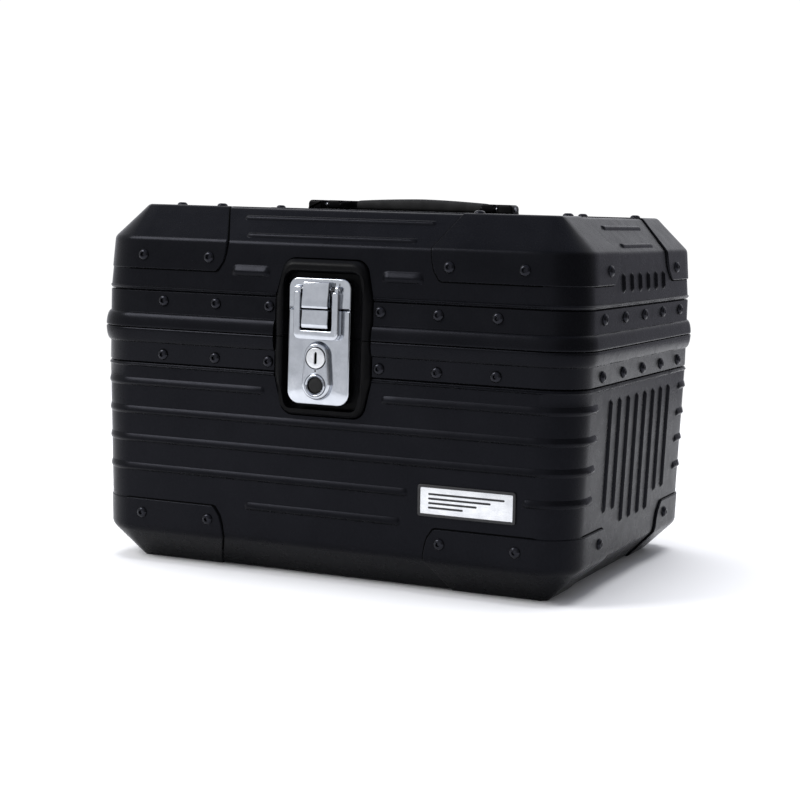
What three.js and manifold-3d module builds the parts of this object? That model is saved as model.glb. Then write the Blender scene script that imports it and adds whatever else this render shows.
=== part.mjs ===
// Motorcycle top case: a sheet-aluminium box with a hinged lid, corner protectors, a front
// hasp lock and a folding carrying handle.
// Millimetres. X runs left to right, -Y is the lock side, +Y the hinge side, +Z is up.
// The origin is the centre of the base plate's underside, on the ground plane.

import * as THREE from 'three';
import { mergeVertices } from 'three/addons/utils/BufferGeometryUtils.js';
import Module from 'manifold-3d';

const wasm = await Module();
wasm.setup();

// ---------------------------------------------------------------- driving dimensions

const HALF_WIDTH = 215;            // flat of the rim frames, left and right
const HALF_DEPTH = 165.9;          // flat of the rim frames, front and back
const CORNER_RADIUS = 35;          // rim frame corner, seen from above
const CORNER_STEPS = 6;            // facets in a quarter turn of a case corner
const GAP = 0.3;                   // clearance between touching pieces
const SHEET = 1.5;                 // wall thickness of the two shells

// Heights, from the underside
const BOX_FLOOR_Z = 3;
const BOX_CHAMFER_Z = 28.6;
const BOX_GAP_Z = 169.6;           // joint between the box panels and the box rim frame
const PARTING_Z = 198.2;
const LID_GAP_Z = 229;             // joint between the lid rim frame and the lid panels
const LID_CHAMFER_Z = 272.2;
const LID_TOP_Z = 299.8;

// How far the panels lie inside the rim frame flat
const BOX_FLOOR_INSET = 32;
const BOX_CHAMFER_INSET = 4.2;
const LID_CHAMFER_INSET = 2.4;
const LID_TOP_INSET = 30;

// Rim frames: an outer plate, a raised half bead at the parting line and an inner flange
const RIM_PLATE = 3;
const BEAD_HEIGHT = 4;
const BEAD_HALF = 12.5;
const PARTING_HALF_GAP = 0.3;
const FLANGE_INSET = 13.5;
const FLANGE_THICKNESS = 4.5;
const SEAL_INSET_OUTER = 9.6;
const SEAL_INSET_INNER = 12.2;
const SEAL_DEPTH = 2.5;

// Pressed ribs
const RIB_WIDTH = 6;
const RIB_HEIGHT = 1.8;
const RIB_WRAP_END = 115;          // where a wrapping rib ends on the side walls
const BOX_RIB_Z = [56.4, 80.5, 104.9, 128.6, 152.5];
const LOW_RIB_X = 70;              // half length of the lowest rib, between the protectors
const BADGE_GAP_X = [76, 172];     // the second rib stops on either side of the name plate
const LOCK_GAP_X = 52;             // the top rib stops on either side of the lock
const SIDE_RIB_Y = [11.9, 35.6, 59.4, 83.2];
const SIDE_RIB_TOP_Z = 157;
const SIDE_RIB_BOTTOM_Z = { inner: 51.5, outer: 65 };
const LID_SIDE_RIB_Y = [11.6, 34.7, 57.8];
const LID_SIDE_RIB_Z = [240.5, 256.6];
const LID_CHAMFER_RIBS = [{ z: 292, half: 85 }, { z: 278, half: 75.5 }];
const LID_CHAMFER_RIB_WIDTH = 5;
const LID_PILL = { x0: 49.6, x1: 84.9, z0: 244.7, z1: 253.7 };

// Corner protectors
const PROTECTOR_PROUD = 1.8;
const BOX_PROTECTOR_TOP_Z = 53.7;
const LID_PROTECTOR_BOTTOM_Z = 247.3;
const LID_PROTECTOR_TOP_Z = 300.8;
const PROTECTOR_FRONT = { edge: 102.6, kink: 90, flat: 104.5 };
const PROTECTOR_SIDE = { edge: 90, kink: 69, flat: 83.5 };

// Hinges at the back
const HINGE_Y = 173;
const HINGE_X = 120;
const HINGE_HALF_LENGTH = 27;
const HINGE_KNUCKLE_RADIUS = 4;
const HINGE_PIN_RADIUS = 2;
const HINGE_NOTCH_HALF = 29;

// Lid stays: a slotted arm turns on a lid stud and slides on a box stud. Both studs lie at the
// same distance from the hinge axis, so the arm always turns half as far as the lid.
const STAY_RADIUS = 100;
const STAY_HALF_ANGLE = THREE.MathUtils.degToRad(15);
const LID_OPEN = THREE.MathUtils.degToRad(80);
const STAY_X = 198.5;
const STAY_THICKNESS = 3;
const STAY_WIDTH = 13;
const STUD_RADIUS = 2.5;
const STUD_CLEARANCE = 0.2;

// Lock on the front
const FRONT_Y = -HALF_DEPTH;
const BEZEL_HALF_WIDTH = 42.7;
const BEZEL_HALF_STRAIGHT = 31;
const BEZEL_HALF_HEIGHT = 62.5;
const BEZEL_END_HALF_WIDTH = 26.3;
const BEZEL_SHOULDER = { x: 38.1, z: 50.6, control: 35.3 };
const BEZEL_PROUD = 4.6;
const POCKET_HALF_WIDTH = 34.5;
const POCKET_BOTTOM_Z = 140.5;
const POCKET_TOP_Z = 251;
const POCKET_RADIUS = 9;
const POCKET_DEPTH = 6;
const BEZEL_WALL = 2;
const PLATE_HALF_WIDTH = 27.15;
const PLATE_BOTTOM_Z = 145.6;
const PLATE_SPLIT_Z = 221.6;
const PLATE_TOP_Z = 246.2;
const PLATE_Y = FRONT_Y - 8;
const PLATE_THICKNESS = 3;
const PLATE_BACK_Y = FRONT_Y + POCKET_DEPTH - GAP;
const PAD_Y = FRONT_Y - 13;
const PAD_HALF_WIDTH = 13.5;
const PAD_BOTTOM_Z = 149;
const PAD_TOP_Z = 196.4;
const LOCK_Z = 183.1;
const LOCK_RADIUS = 9;
const BUTTON_Z = 161.4;
const BUTTON_RADIUS = 6.45;
const BUTTON_RING_RADIUS = 9.2;
const BUTTON_TRAVEL = 3;
const HASP_PIVOT_Y = FRONT_Y - 11.65;
const HASP_PIVOT_Z = 238.1;
const HASP_PIN_RADIUS = 1.5;
const HASP_HALF_WIDTH = 19.7;
const HASP_ARM = 6;
const HASP_BOTTOM_Z = 197.6;
const HASP_BAR = 7.5;
const TONGUE_HALF_WIDTH = 11.5;
const TONGUE_BOTTOM_Z = 206.7;
const TONGUE_TOP_Z = 243.6;
const TONGUE_Y = FRONT_Y - 17.5;

// Name plate
const BADGE = { x: 126.3, z: 75.8, width: 82, height: 25.5, thickness: 1.2 };

// Handle on the lid
const HANDLE_BRACKET_X = 91.5;
const HANDLE_BRACKET = { width: 18, depth: 26, height: 8 };
const HANDLE_AXIS_Z = 304.6;
const HANDLE_PIN_RADIUS = 1.8;
const HANDLE_HALF_SPAN = 80;
const HANDLE_ARM = 14;
const HANDLE_REACH = 36;
const HANDLE_BAR = 17;
const HANDLE_BOTTOM_Z = 302;
const HANDLE_END_Z = 307.7;
const HANDLE_CROWN_Z = 310;

// Base plate and its bolts
const BASE_PLATE = { width: 220, depth: 150, radius: 12 };
const BASE_BOLT_X = 85;
const BASE_BOLT_Y = 50;
const BOLT_RADIUS = 3;
const BOLT_HEAD_RADIUS = 8;
const MAT_THICKNESS = 3;

// ---------------------------------------------------------------- materials

const finish = (color, roughness, metalness) =>
  new THREE.MeshStandardMaterial({ color, roughness, metalness });

const blackPanel = finish(0x17181c, 0.48, 0.35);
const blackFrame = finish(0x131418, 0.42, 0.4);
const blackPlastic = finish(0x0d0d10, 0.5, 0.0);
const chrome = finish(0xd4d6da, 0.12, 1.0);
const steel = finish(0x8f9298, 0.35, 1.0);
const zinc = finish(0xa9adb3, 0.4, 1.0);
const rubber = finish(0x101010, 0.85, 0.0);
const lining = finish(0x202124, 0.95, 0.0);
const silver = finish(0xc4c6c8, 0.35, 0.8);

// ---------------------------------------------------------------- solids

const { Manifold, Mesh: ManifoldMesh } = wasm;

/** Turns a closed geometry into a solid that can be joined and cut. */
function solid(geometry) {
  const bare = geometry.clone();
  bare.deleteAttribute('normal');
  bare.deleteAttribute('uv');
  const merged = mergeVertices(bare, 1e-4);
  return new Manifold(new ManifoldMesh({
    numProp: 3,
    vertProperties: new Float32Array(merged.attributes.position.array),
    triVerts: new Uint32Array(merged.index.array),
  }));
}

/** The geometry of a solid. */
function geometryOf(body) {
  const mesh = body.getMesh();
  const geometry = new THREE.BufferGeometry();
  geometry.setAttribute('position', new THREE.BufferAttribute(mesh.vertProperties, 3));
  geometry.setIndex(new THREE.BufferAttribute(mesh.triVerts, 1));
  geometry.computeVertexNormals();
  return geometry;
}

/** One level of the case: a rounded rectangle, inset from the rim frame flat. */
function level([inset, z]) {
  const radius = CORNER_RADIUS - inset;
  const cx = HALF_WIDTH - CORNER_RADIUS;
  const cy = HALF_DEPTH - CORNER_RADIUS;
  const points = [];
  for (const [sx, sy, start] of [[1, 1, 0], [-1, 1, 1], [-1, -1, 2], [1, -1, 3]]) {
    for (let i = 0; i <= CORNER_STEPS; i += 1) {
      const angle = (start + i / CORNER_STEPS) * Math.PI / 2;
      points.push(new THREE.Vector3(
        sx * cx + radius * Math.cos(angle),
        sy * cy + radius * Math.sin(angle),
        z,
      ));
    }
  }
  return points;
}

/** A closed solid through the case levels given as [inset, z], from the bottom up. */
function loft(profile) {
  const rings = profile.map(level);
  const count = rings[0].length;
  const points = [...rings.flat(), new THREE.Vector3(0, 0, profile[0][1]),
    new THREE.Vector3(0, 0, profile[profile.length - 1][1])];
  const bottom = points.length - 2;
  const top = points.length - 1;
  const last = (rings.length - 1) * count;
  const faces = [];
  for (let i = 0; i < count; i += 1) {
    const next = (i + 1) % count;
    for (let r = 0; r < last; r += count) {
      faces.push(r + i, r + next, r + count + next, r + i, r + count + next, r + count + i);
    }
    faces.push(bottom, next, i, top, last + i, last + next);
  }
  const geometry = new THREE.BufferGeometry().setFromPoints(points);
  geometry.setIndex(faces);
  return solid(geometry);
}

const curveSteps = 5;

/** An outline in X and Y, extruded from z0 up to z1. */
function prismZ(shape, z0, z1) {
  const options = { depth: z1 - z0, bevelEnabled: false, curveSegments: curveSteps };
  return solid(new THREE.ExtrudeGeometry(shape, options).translate(0, 0, z0));
}

/** An outline in X and Z, extruded from y0 back to y1. */
function prismY(shape, y0, y1) {
  const options = { depth: y1 - y0, bevelEnabled: false, curveSegments: curveSteps };
  const geometry = new THREE.ExtrudeGeometry(shape, options);
  return solid(geometry.rotateX(Math.PI / 2).translate(0, y1, 0));
}

/** An outline in Y and Z, extruded from x0 to x1. */
function prismX(shape, x0, x1) {
  const options = { depth: x1 - x0, bevelEnabled: false, curveSegments: curveSteps };
  const geometry = new THREE.ExtrudeGeometry(shape, options);
  const turn = new THREE.Matrix4().set(0, 0, 1, x0, 1, 0, 0, 0, 0, 1, 0, 0, 0, 0, 0, 1);
  return solid(geometry.applyMatrix4(turn));
}

/** A box between two corners. */
function block(x0, y0, z0, x1, y1, z1) {
  const geometry = new THREE.BoxGeometry(x1 - x0, y1 - y0, z1 - z0);
  return solid(geometry.translate((x0 + x1) / 2, (y0 + y1) / 2, (z0 + z1) / 2));
}

/** A cylinder from one point to another along a row axis. */
function rod(axis, radius, from, to, a, b, steps = 16) {
  const geometry = new THREE.CylinderGeometry(radius, radius, to - from, steps);
  const middle = (from + to) / 2;
  if (axis === 'x') geometry.rotateZ(-Math.PI / 2).translate(middle, a, b);
  if (axis === 'y') geometry.translate(a, middle, b);
  if (axis === 'z') geometry.rotateX(Math.PI / 2).translate(a, b, middle);
  return solid(geometry);
}

/** A rectangle with round corners, between two corners. */
function roundedRect(x0, y0, x1, y1, r) {
  const shape = new THREE.Shape();
  shape.moveTo(x0 + r, y0).lineTo(x1 - r, y0).absarc(x1 - r, y0 + r, r, -Math.PI / 2, 0);
  shape.lineTo(x1, y1 - r).absarc(x1 - r, y1 - r, r, 0, Math.PI / 2);
  shape.lineTo(x0 + r, y1).absarc(x0 + r, y1 - r, r, Math.PI / 2, Math.PI);
  shape.lineTo(x0, y0 + r).absarc(x0 + r, y0 + r, r, Math.PI, 1.5 * Math.PI);
  return shape;
}

/** A straight-sided outline. */
const polygon = (...points) => new THREE.Shape(points.map(([u, v]) => new THREE.Vector2(u, v)));

const sum = (first, ...rest) => rest.reduce((all, next) => all.add(next), first);
const cut = (first, ...rest) => rest.reduce((all, next) => all.subtract(next), first);

/** A named mesh on a group. */
function place(group, name, body, material) {
  const mesh = new THREE.Mesh(body.isBufferGeometry ? body : geometryOf(body), material);
  mesh.name = name;
  group.add(mesh);
  return mesh;
}

const SIDES = [['left', -1], ['right', 1]];
const ENDS = [['front', -1], ['rear', 1]];

// ---------------------------------------------------------------- case surfaces

/** Inset of the box wall at a height. */
const boxWall = (z) => BOX_CHAMFER_INSET * (BOX_GAP_Z - z) / (BOX_GAP_Z - BOX_CHAMFER_Z);

/** The box panels' outer surface, moved outwards, up to a height. */
function boxSkin(out, top) {
  return loft([
    [BOX_FLOOR_INSET - 0.4 * out, BOX_FLOOR_Z - out],
    [BOX_CHAMFER_INSET - out, BOX_CHAMFER_Z - 0.44 * out],
    [boxWall(top) - out, top],
  ]);
}

/** The lid panels' outer surface, moved outwards, from a height up. */
function lidSkin(out, bottom) {
  const slope = LID_CHAMFER_INSET / (LID_CHAMFER_Z - LID_GAP_Z);
  const bend = Math.SQRT2 - 1;
  return loft([
    [slope * (bottom - LID_GAP_Z) - out, bottom],
    [LID_CHAMFER_INSET - out, LID_CHAMFER_Z + bend * out],
    [LID_TOP_INSET - bend * out, LID_TOP_Z + out],
  ]);
}

/** The lock bezel's outline in X and Z, grown by a margin. */
function bezelOutline(grow, z0, z1) {
  const w = BEZEL_HALF_WIDTH + grow;
  const e = BEZEL_END_HALF_WIDTH;
  const h = BEZEL_HALF_HEIGHT + grow;
  const s = BEZEL_HALF_STRAIGHT;
  const x = BEZEL_SHOULDER.x + grow;
  const z = BEZEL_SHOULDER.z;
  const k = BEZEL_SHOULDER.control + grow;
  const shape = new THREE.Shape();
  shape.moveTo(w, -s).lineTo(w, s).lineTo(x, z).quadraticCurveTo(k, h, e, h).lineTo(-e, h);
  shape.quadraticCurveTo(-k, h, -x, z).lineTo(-w, s).lineTo(-w, -s).lineTo(-x, -z);
  shape.quadraticCurveTo(-k, -h, -e, -h).lineTo(e, -h).quadraticCurveTo(k, -h, x, -z);
  shape.lineTo(w, -s);
  const whole = prismY(shape, FRONT_Y - 20, FRONT_Y + 20).translate([0, 0, PARTING_Z]);
  return whole.intersect(block(-60, FRONT_Y - 20, z0, 60, FRONT_Y + 20, z1));
}

/** The lock pocket's outline, grown by a margin, between two depths. */
function pocket(grow, y0, y1) {
  return prismY(roundedRect(
    -POCKET_HALF_WIDTH - grow, POCKET_BOTTOM_Z - grow,
    POCKET_HALF_WIDTH + grow, POCKET_TOP_Z + grow, POCKET_RADIUS + grow,
  ), y0, y1);
}

const pocketHole = pocket(BEZEL_WALL + GAP, FRONT_Y - 20, FRONT_Y + POCKET_DEPTH + BEZEL_WALL + GAP);

// ---------------------------------------------------------------- pressed ribs

/** Horizontal ribs of the box: long ones wrap round the corners. */
function boxRibs() {
  const skin = boxSkin(RIB_HEIGHT, BOX_GAP_Z - 1);
  const half = RIB_WIDTH / 2;
  const far = 240;
  const whole = [[-far, far]];
  const [badgeLeft, badgeRight] = BADGE_GAP_X;
  const frontSpans = [
    [[-LOW_RIB_X, LOW_RIB_X]],
    [[-far, badgeLeft], [badgeRight, far]],
    whole,
    whole,
    [[-far, -LOCK_GAP_X], [LOCK_GAP_X, far]],
  ];
  const rearSpans = [frontSpans[0], whole, whole, whole, whole];
  const bands = [];
  BOX_RIB_Z.forEach((z, row) => {
    for (const [x0, x1] of frontSpans[row]) {
      bands.push(skin.intersect(block(x0, -far, z - half, x1, -RIB_WRAP_END, z + half)));
    }
    for (const [x0, x1] of rearSpans[row]) {
      bands.push(skin.intersect(block(x0, RIB_WRAP_END, z - half, x1, far, z + half)));
    }
  });
  return bands;
}

/** Upright ribs on the sides of the box and the lid. */
function sideRibs(skin, places, bottomOf, top) {
  const bands = [];
  for (const [, sx] of SIDES) {
    for (const [, sy] of ENDS) {
      for (const y of places) {
        const at = sy * y;
        const x0 = sx < 0 ? -240 : 200;
        bands.push(skin.intersect(block(
          x0, at - RIB_WIDTH / 2, bottomOf(y), x0 + 40, at + RIB_WIDTH / 2, top)));
      }
    }
  }
  return bands;
}

// ---------------------------------------------------------------- box

function boxShell() {
  const neck = RIM_PLATE + GAP;
  const step = BOX_GAP_Z - GAP;
  const top = PARTING_Z - PARTING_HALF_GAP - FLANGE_THICKNESS - GAP;
  const outside = loft([
    [BOX_FLOOR_INSET, BOX_FLOOR_Z], [BOX_CHAMFER_INSET, BOX_CHAMFER_Z],
    [0, step], [neck, step], [neck, top],
  ]);
  const inside = loft([
    [BOX_FLOOR_INSET + 0.4 * SHEET, BOX_FLOOR_Z + SHEET],
    [BOX_CHAMFER_INSET + SHEET, BOX_CHAMFER_Z + 0.44 * SHEET],
    [SHEET, step - SHEET], [neck + SHEET, step - SHEET], [neck + SHEET, top + 1],
  ]);
  const outerFour = SIDE_RIB_Y.slice(2);
  const ribs = [
    ...boxRibs(),
    ...sideRibs(boxSkin(RIB_HEIGHT, SIDE_RIB_TOP_Z), SIDE_RIB_Y,
      (y) => (outerFour.includes(y) ? SIDE_RIB_BOTTOM_Z.outer : SIDE_RIB_BOTTOM_Z.inner),
      SIDE_RIB_TOP_Z),
  ];
  const bolts = [];
  for (const [, sx] of SIDES) {
    for (const [, sy] of ENDS) {
      bolts.push(rod('z', BOLT_RADIUS + GAP, -5, 10, sx * BASE_BOLT_X, sy * BASE_BOLT_Y, 12));
    }
  }
  return cut(sum(outside, ...ribs), inside, pocketHole, ...bolts);
}

/** A ring on the flange's seal line, smaller by a margin all round. */
const sealRing = (margin, z0, z1) => cut(
  loft([[SEAL_INSET_OUTER + margin, z0], [SEAL_INSET_OUTER + margin, z1]]),
  loft([[SEAL_INSET_INNER - margin, z0 - 1], [SEAL_INSET_INNER - margin, z1 + 1]]),
);

/** A rim frame: plate, half bead and flange. side is -1 for the box and 1 for the lid. */
function rimFrame(side, panelZ) {
  const at = (distance) => PARTING_Z + side * distance;
  const outside = [
    [-BEAD_HEIGHT, at(PARTING_HALF_GAP)], [-BEAD_HEIGHT, at(0.62 * BEAD_HALF)],
    [-0.72 * BEAD_HEIGHT, at(0.86 * BEAD_HALF)], [0, at(BEAD_HALF)], [0, panelZ],
  ];
  const back = PARTING_HALF_GAP + FLANGE_THICKNESS;
  const under = [[RIM_PLATE, at(back)], [RIM_PLATE, panelZ + side]];
  const mouth = [[FLANGE_INSET, at(-1)], [FLANGE_INSET, at(back + 1)]];
  const upwards = (profile) => loft(side > 0 ? profile : [...profile].reverse());
  const notches = SIDES.map(([, sx]) => block(
    sx * HINGE_X - HINGE_NOTCH_HALF, HALF_DEPTH - GAP, PARTING_Z - 14,
    sx * HINGE_X + HINGE_NOTCH_HALF, HALF_DEPTH + 10, PARTING_Z + 14,
  ));
  const groove = side < 0 ? [] : [sealRing(0, PARTING_Z - 1, PARTING_Z + PARTING_HALF_GAP + SEAL_DEPTH)];
  const lockSpace = bezelOutline(GAP, PARTING_Z - 40, PARTING_Z + 40)
    .intersect(block(-60, -200, 0, 60, FRONT_Y + POCKET_DEPTH + BEZEL_WALL + GAP, 400));
  return cut(upwards(outside), upwards(under), upwards(mouth), ...notches, ...groove, lockSpace);
}

/** The lid's sheet shell with its ribs. */
function lidShell() {
  const neck = RIM_PLATE + GAP;
  const step = LID_GAP_Z + GAP;
  const bottom = PARTING_Z + PARTING_HALF_GAP + FLANGE_THICKNESS + GAP;
  const bend = Math.SQRT2 - 1;
  const outside = loft([
    [neck, bottom], [neck, step], [0, step],
    [LID_CHAMFER_INSET, LID_CHAMFER_Z], [LID_TOP_INSET, LID_TOP_Z],
  ]);
  const inside = loft([
    [neck + SHEET, bottom - 1], [neck + SHEET, step + SHEET], [SHEET, step + SHEET],
    [LID_CHAMFER_INSET + SHEET, LID_CHAMFER_Z - bend * SHEET],
    [LID_TOP_INSET + bend * SHEET, LID_TOP_Z - SHEET],
  ]);
  const skin = lidSkin(RIB_HEIGHT, LID_GAP_Z + 1);
  const [ribBottom, ribTop] = LID_SIDE_RIB_Z;
  const ribs = sideRibs(skin, LID_SIDE_RIB_Y, () => ribBottom, ribTop);
  for (const [, sy] of ENDS) {
    const y0 = sy < 0 ? -200 : 100;
    const rise = LID_CHAMFER_RIB_WIDTH / 2;
    for (const { z, half } of LID_CHAMFER_RIBS) {
      ribs.push(skin.intersect(block(-half, y0, z - rise, half, y0 + 100, z + rise)));
    }
    for (const [, sx] of SIDES) {
      const x0 = sx < 0 ? -LID_PILL.x1 : LID_PILL.x0;
      const x1 = sx < 0 ? -LID_PILL.x0 : LID_PILL.x1;
      ribs.push(skin.intersect(block(x0, y0, LID_PILL.z0, x1, y0 + 100, LID_PILL.z1)));
    }
  }
  return cut(sum(outside, ...ribs), inside, pocketHole);
}

/** A flat-sided outline of a protector on one wall, mirrored for the left and the right. */
function protectorOutline({ edge, kink, flat }, side, zEdge, zBend, zFlat) {
  const far = 260;
  const past = zFlat + Math.sign(zFlat - zEdge) * 5;
  const shape = new THREE.Shape();
  shape.moveTo(side * far, past).lineTo(side * flat, past).lineTo(side * flat, zFlat);
  shape.lineTo(side * kink, zBend);
  shape.quadraticCurveTo(side * (kink + 2), zEdge, side * edge, zEdge);
  shape.lineTo(side * far, zEdge);
  return shape;
}

/** The corner region that a protector covers: on the long wall, the short wall and the flat. */
function protectorRegion(sx, sy, zEdge, zBend, zFlat, flatInset) {
  const yIn = HALF_DEPTH - flatInset;
  const xIn = HALF_WIDTH - flatInset;
  const long = protectorOutline(PROTECTOR_FRONT, sx, zEdge, zBend, zFlat);
  const short = protectorOutline(PROTECTOR_SIDE, sy, zEdge, zBend, zFlat);
  const flat = polygon(
    [sx * PROTECTOR_FRONT.flat, sy * yIn], [sx * xIn, sy * PROTECTOR_SIDE.flat],
    [sx * 260, sy * PROTECTOR_SIDE.flat], [sx * 260, sy * 260], [sx * PROTECTOR_FRONT.flat, sy * 260],
  );
  const reach = 8;
  return sum(
    prismY(long, sy < 0 ? -200 : yIn, sy < 0 ? -yIn : 200),
    prismX(short, sx < 0 ? -250 : xIn, sx < 0 ? -xIn : 250),
    prismZ(flat, zFlat - reach, zFlat + reach),
  );
}

function boxProtector(sx, sy) {
  const top = BOX_PROTECTOR_TOP_Z + 3;
  const outside = loft([
    [BOX_FLOOR_INSET - 1.5, 0], [BOX_CHAMFER_INSET - PROTECTOR_PROUD, BOX_CHAMFER_Z - 0.9],
    [boxWall(top) - PROTECTOR_PROUD, top],
  ]);
  const region = protectorRegion(sx, sy, BOX_PROTECTOR_TOP_Z, BOX_CHAMFER_Z, 0, BOX_FLOOR_INSET - 1.5);
  return outside.subtract(boxSkin(GAP, top + 1)).intersect(region);
}

function lidProtector(sx, sy) {
  const bottom = LID_PROTECTOR_BOTTOM_Z - 3;
  const slope = LID_CHAMFER_INSET / (LID_CHAMFER_Z - LID_GAP_Z);
  const outside = loft([
    [slope * (bottom - LID_GAP_Z) - PROTECTOR_PROUD, bottom],
    [LID_CHAMFER_INSET - PROTECTOR_PROUD, LID_CHAMFER_Z + 0.6],
    [LID_TOP_INSET - 0.6, LID_PROTECTOR_TOP_Z],
  ]);
  const region = protectorRegion(
    sx, sy, LID_PROTECTOR_BOTTOM_Z, LID_CHAMFER_Z, LID_PROTECTOR_TOP_Z, LID_TOP_INSET - 0.6);
  return outside.subtract(lidSkin(GAP, bottom - 1)).intersect(region);
}

/** Half of the lock bezel: a proud rim round a pocket with a floor. */
function bezel(z0, z1) {
  const faceBack = block(-60, FRONT_Y - BEZEL_PROUD, z0, 60, FRONT_Y - GAP, z1);
  const rimOnly = block(-60, FRONT_Y - BEZEL_PROUD, Math.max(z0, BOX_GAP_Z), 60,
    FRONT_Y + RIM_PLATE, Math.min(z1, LID_GAP_Z));
  const rim = bezelOutline(0, z0, z1).intersect(faceBack.add(rimOnly));
  const well = pocket(BEZEL_WALL, FRONT_Y - 1, FRONT_Y + POCKET_DEPTH + BEZEL_WALL)
    .intersect(block(-60, -200, z0, 60, 0, z1));
  return sum(rim, well).subtract(pocket(0, FRONT_Y - 20, FRONT_Y + POCKET_DEPTH));
}

/** A cast lock plate with a rim that reaches back to the pocket floor. */
function lockPlate(shape, inner) {
  return cut(prismY(shape, PLATE_Y, PLATE_BACK_Y),
    prismY(inner, PLATE_Y + PLATE_THICKNESS, PLATE_BACK_Y + 1));
}

function latchHousing() {
  const wall = 2;
  const top = PLATE_SPLIT_Z - GAP;
  const w = PLATE_HALF_WIDTH;
  const outline = new THREE.Shape();
  outline.moveTo(-w, top).lineTo(-w, PLATE_BOTTOM_Z + 10);
  outline.absarc(-w + 10, PLATE_BOTTOM_Z + 10, 10, Math.PI, 1.5 * Math.PI);
  outline.lineTo(w - 10, PLATE_BOTTOM_Z).absarc(w - 10, PLATE_BOTTOM_Z + 10, 10, 1.5 * Math.PI, 2 * Math.PI);
  outline.lineTo(w, top);
  const inner = polygon([-w + wall, top - wall], [-w + wall, PLATE_BOTTOM_Z + 8],
    [-w + 8, PLATE_BOTTOM_Z + wall], [w - 8, PLATE_BOTTOM_Z + wall], [w - wall, PLATE_BOTTOM_Z + 8],
    [w - wall, top - wall]);
  const bevel = 2.7;
  const padShape = roundedRect(-PAD_HALF_WIDTH + bevel, PAD_BOTTOM_Z + bevel,
    PAD_HALF_WIDTH - bevel, PAD_TOP_Z - bevel, PAD_HALF_WIDTH - bevel - 0.05);
  const height = PLATE_Y - PAD_Y;
  const pad = solid(new THREE.ExtrudeGeometry(padShape, {
    depth: 1, bevelThickness: height, bevelSize: bevel, bevelSegments: 1, curveSegments: 6,
  }).rotateX(Math.PI / 2).translate(0, PLATE_Y + 1, 0))
    .intersect(block(-30, PAD_Y, 100, 30, PLATE_Y + 1, 230));
  return cut(lockPlate(outline, inner).add(pad),
    rod('y', LOCK_RADIUS, PAD_Y - 5, PLATE_Y + 6, 0, LOCK_Z, 24),
    rod('y', BUTTON_RING_RADIUS, PAD_Y - 5, PLATE_Y + 6, 0, BUTTON_Z, 24),
    block(-4, PLATE_Y - 1, 204.5, 4, PLATE_Y + 9, 230));
}

function strikePlate() {
  const wall = 2;
  const bottom = PLATE_SPLIT_Z + GAP;
  const w = PLATE_HALF_WIDTH;
  const r = 8;
  const outline = new THREE.Shape();
  outline.moveTo(w, bottom).lineTo(w, PLATE_TOP_Z - r).absarc(w - r, PLATE_TOP_Z - r, r, 0, Math.PI / 2);
  outline.lineTo(-w + r, PLATE_TOP_Z).absarc(-w + r, PLATE_TOP_Z - r, r, Math.PI / 2, Math.PI);
  outline.lineTo(-w, bottom);
  const inner = polygon([w - wall, bottom + wall], [w - wall, PLATE_TOP_Z - 7],
    [w - 7, PLATE_TOP_Z - wall], [-w + 7, PLATE_TOP_Z - wall], [-w + wall, PLATE_TOP_Z - 7],
    [-w + wall, bottom + wall]);
  return lockPlate(outline, inner);
}

/** The fixed block above the split: it carries the hasp pin. Its underside clears the hasp. */
function pivotBlock() {
  const back = PLATE_Y - GAP;
  const bottom = PLATE_SPLIT_Z + GAP;
  const profile = polygon([back, bottom], [back, TONGUE_TOP_Z], [TONGUE_Y + 5, TONGUE_TOP_Z],
    [TONGUE_Y + 1.2, PLATE_SPLIT_Z + 11], [TONGUE_Y, bottom + 2.4], [TONGUE_Y, bottom + 1],
    [HASP_PIVOT_Y, bottom]);
  return prismX(profile, -TONGUE_HALF_WIDTH, TONGUE_HALF_WIDTH)
    .subtract(rod('x', HASP_PIN_RADIUS + GAP, -20, 20, HASP_PIVOT_Y, HASP_PIVOT_Z, 12));
}

/** The hasp: a U frame that hangs from the pin, with a thumb block between its arms. */
function haspLever() {
  const back = PLATE_Y - GAP;
  const front = FRONT_Y - 15;
  const w = HASP_HALF_WIDTH;
  const round = (back - front) / 2;
  const slab = new THREE.Shape();
  slab.moveTo(front, HASP_BOTTOM_Z).lineTo(back, HASP_BOTTOM_Z).lineTo(back, HASP_PIVOT_Z);
  slab.absarc(back - round, HASP_PIVOT_Z, round, 0, Math.PI).lineTo(front, HASP_BOTTOM_Z);
  const frame = prismX(slab, -w, w)
    .intersect(prismY(roundedRect(-w, HASP_BOTTOM_Z, w, 260, 6), front - 1, back + 1));
  const inside = HASP_HALF_WIDTH - HASP_ARM;
  const window = block(-inside, front - 1, HASP_BOTTOM_Z + HASP_BAR, inside, back + 1, 260);
  const web = block(-inside - 1, back - 1, HASP_BOTTOM_Z + 2, inside + 1, back, PLATE_SPLIT_Z - GAP);
  const thumb = prismX(polygon([back, TONGUE_BOTTOM_Z], [back, PLATE_SPLIT_Z - GAP],
    [TONGUE_Y + 0.4, PLATE_SPLIT_Z - GAP], [TONGUE_Y + 4, TONGUE_BOTTOM_Z]),
  -TONGUE_HALF_WIDTH, TONGUE_HALF_WIDTH);
  const nose = block(-3, back - 1, 206.5, 3, PLATE_Y + 6, 213);
  return cut(sum(cut(frame, window), web, thumb, nose),
    rod('x', HASP_PIN_RADIUS + GAP, -30, 30, HASP_PIVOT_Y, HASP_PIVOT_Z, 12));
}

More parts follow.
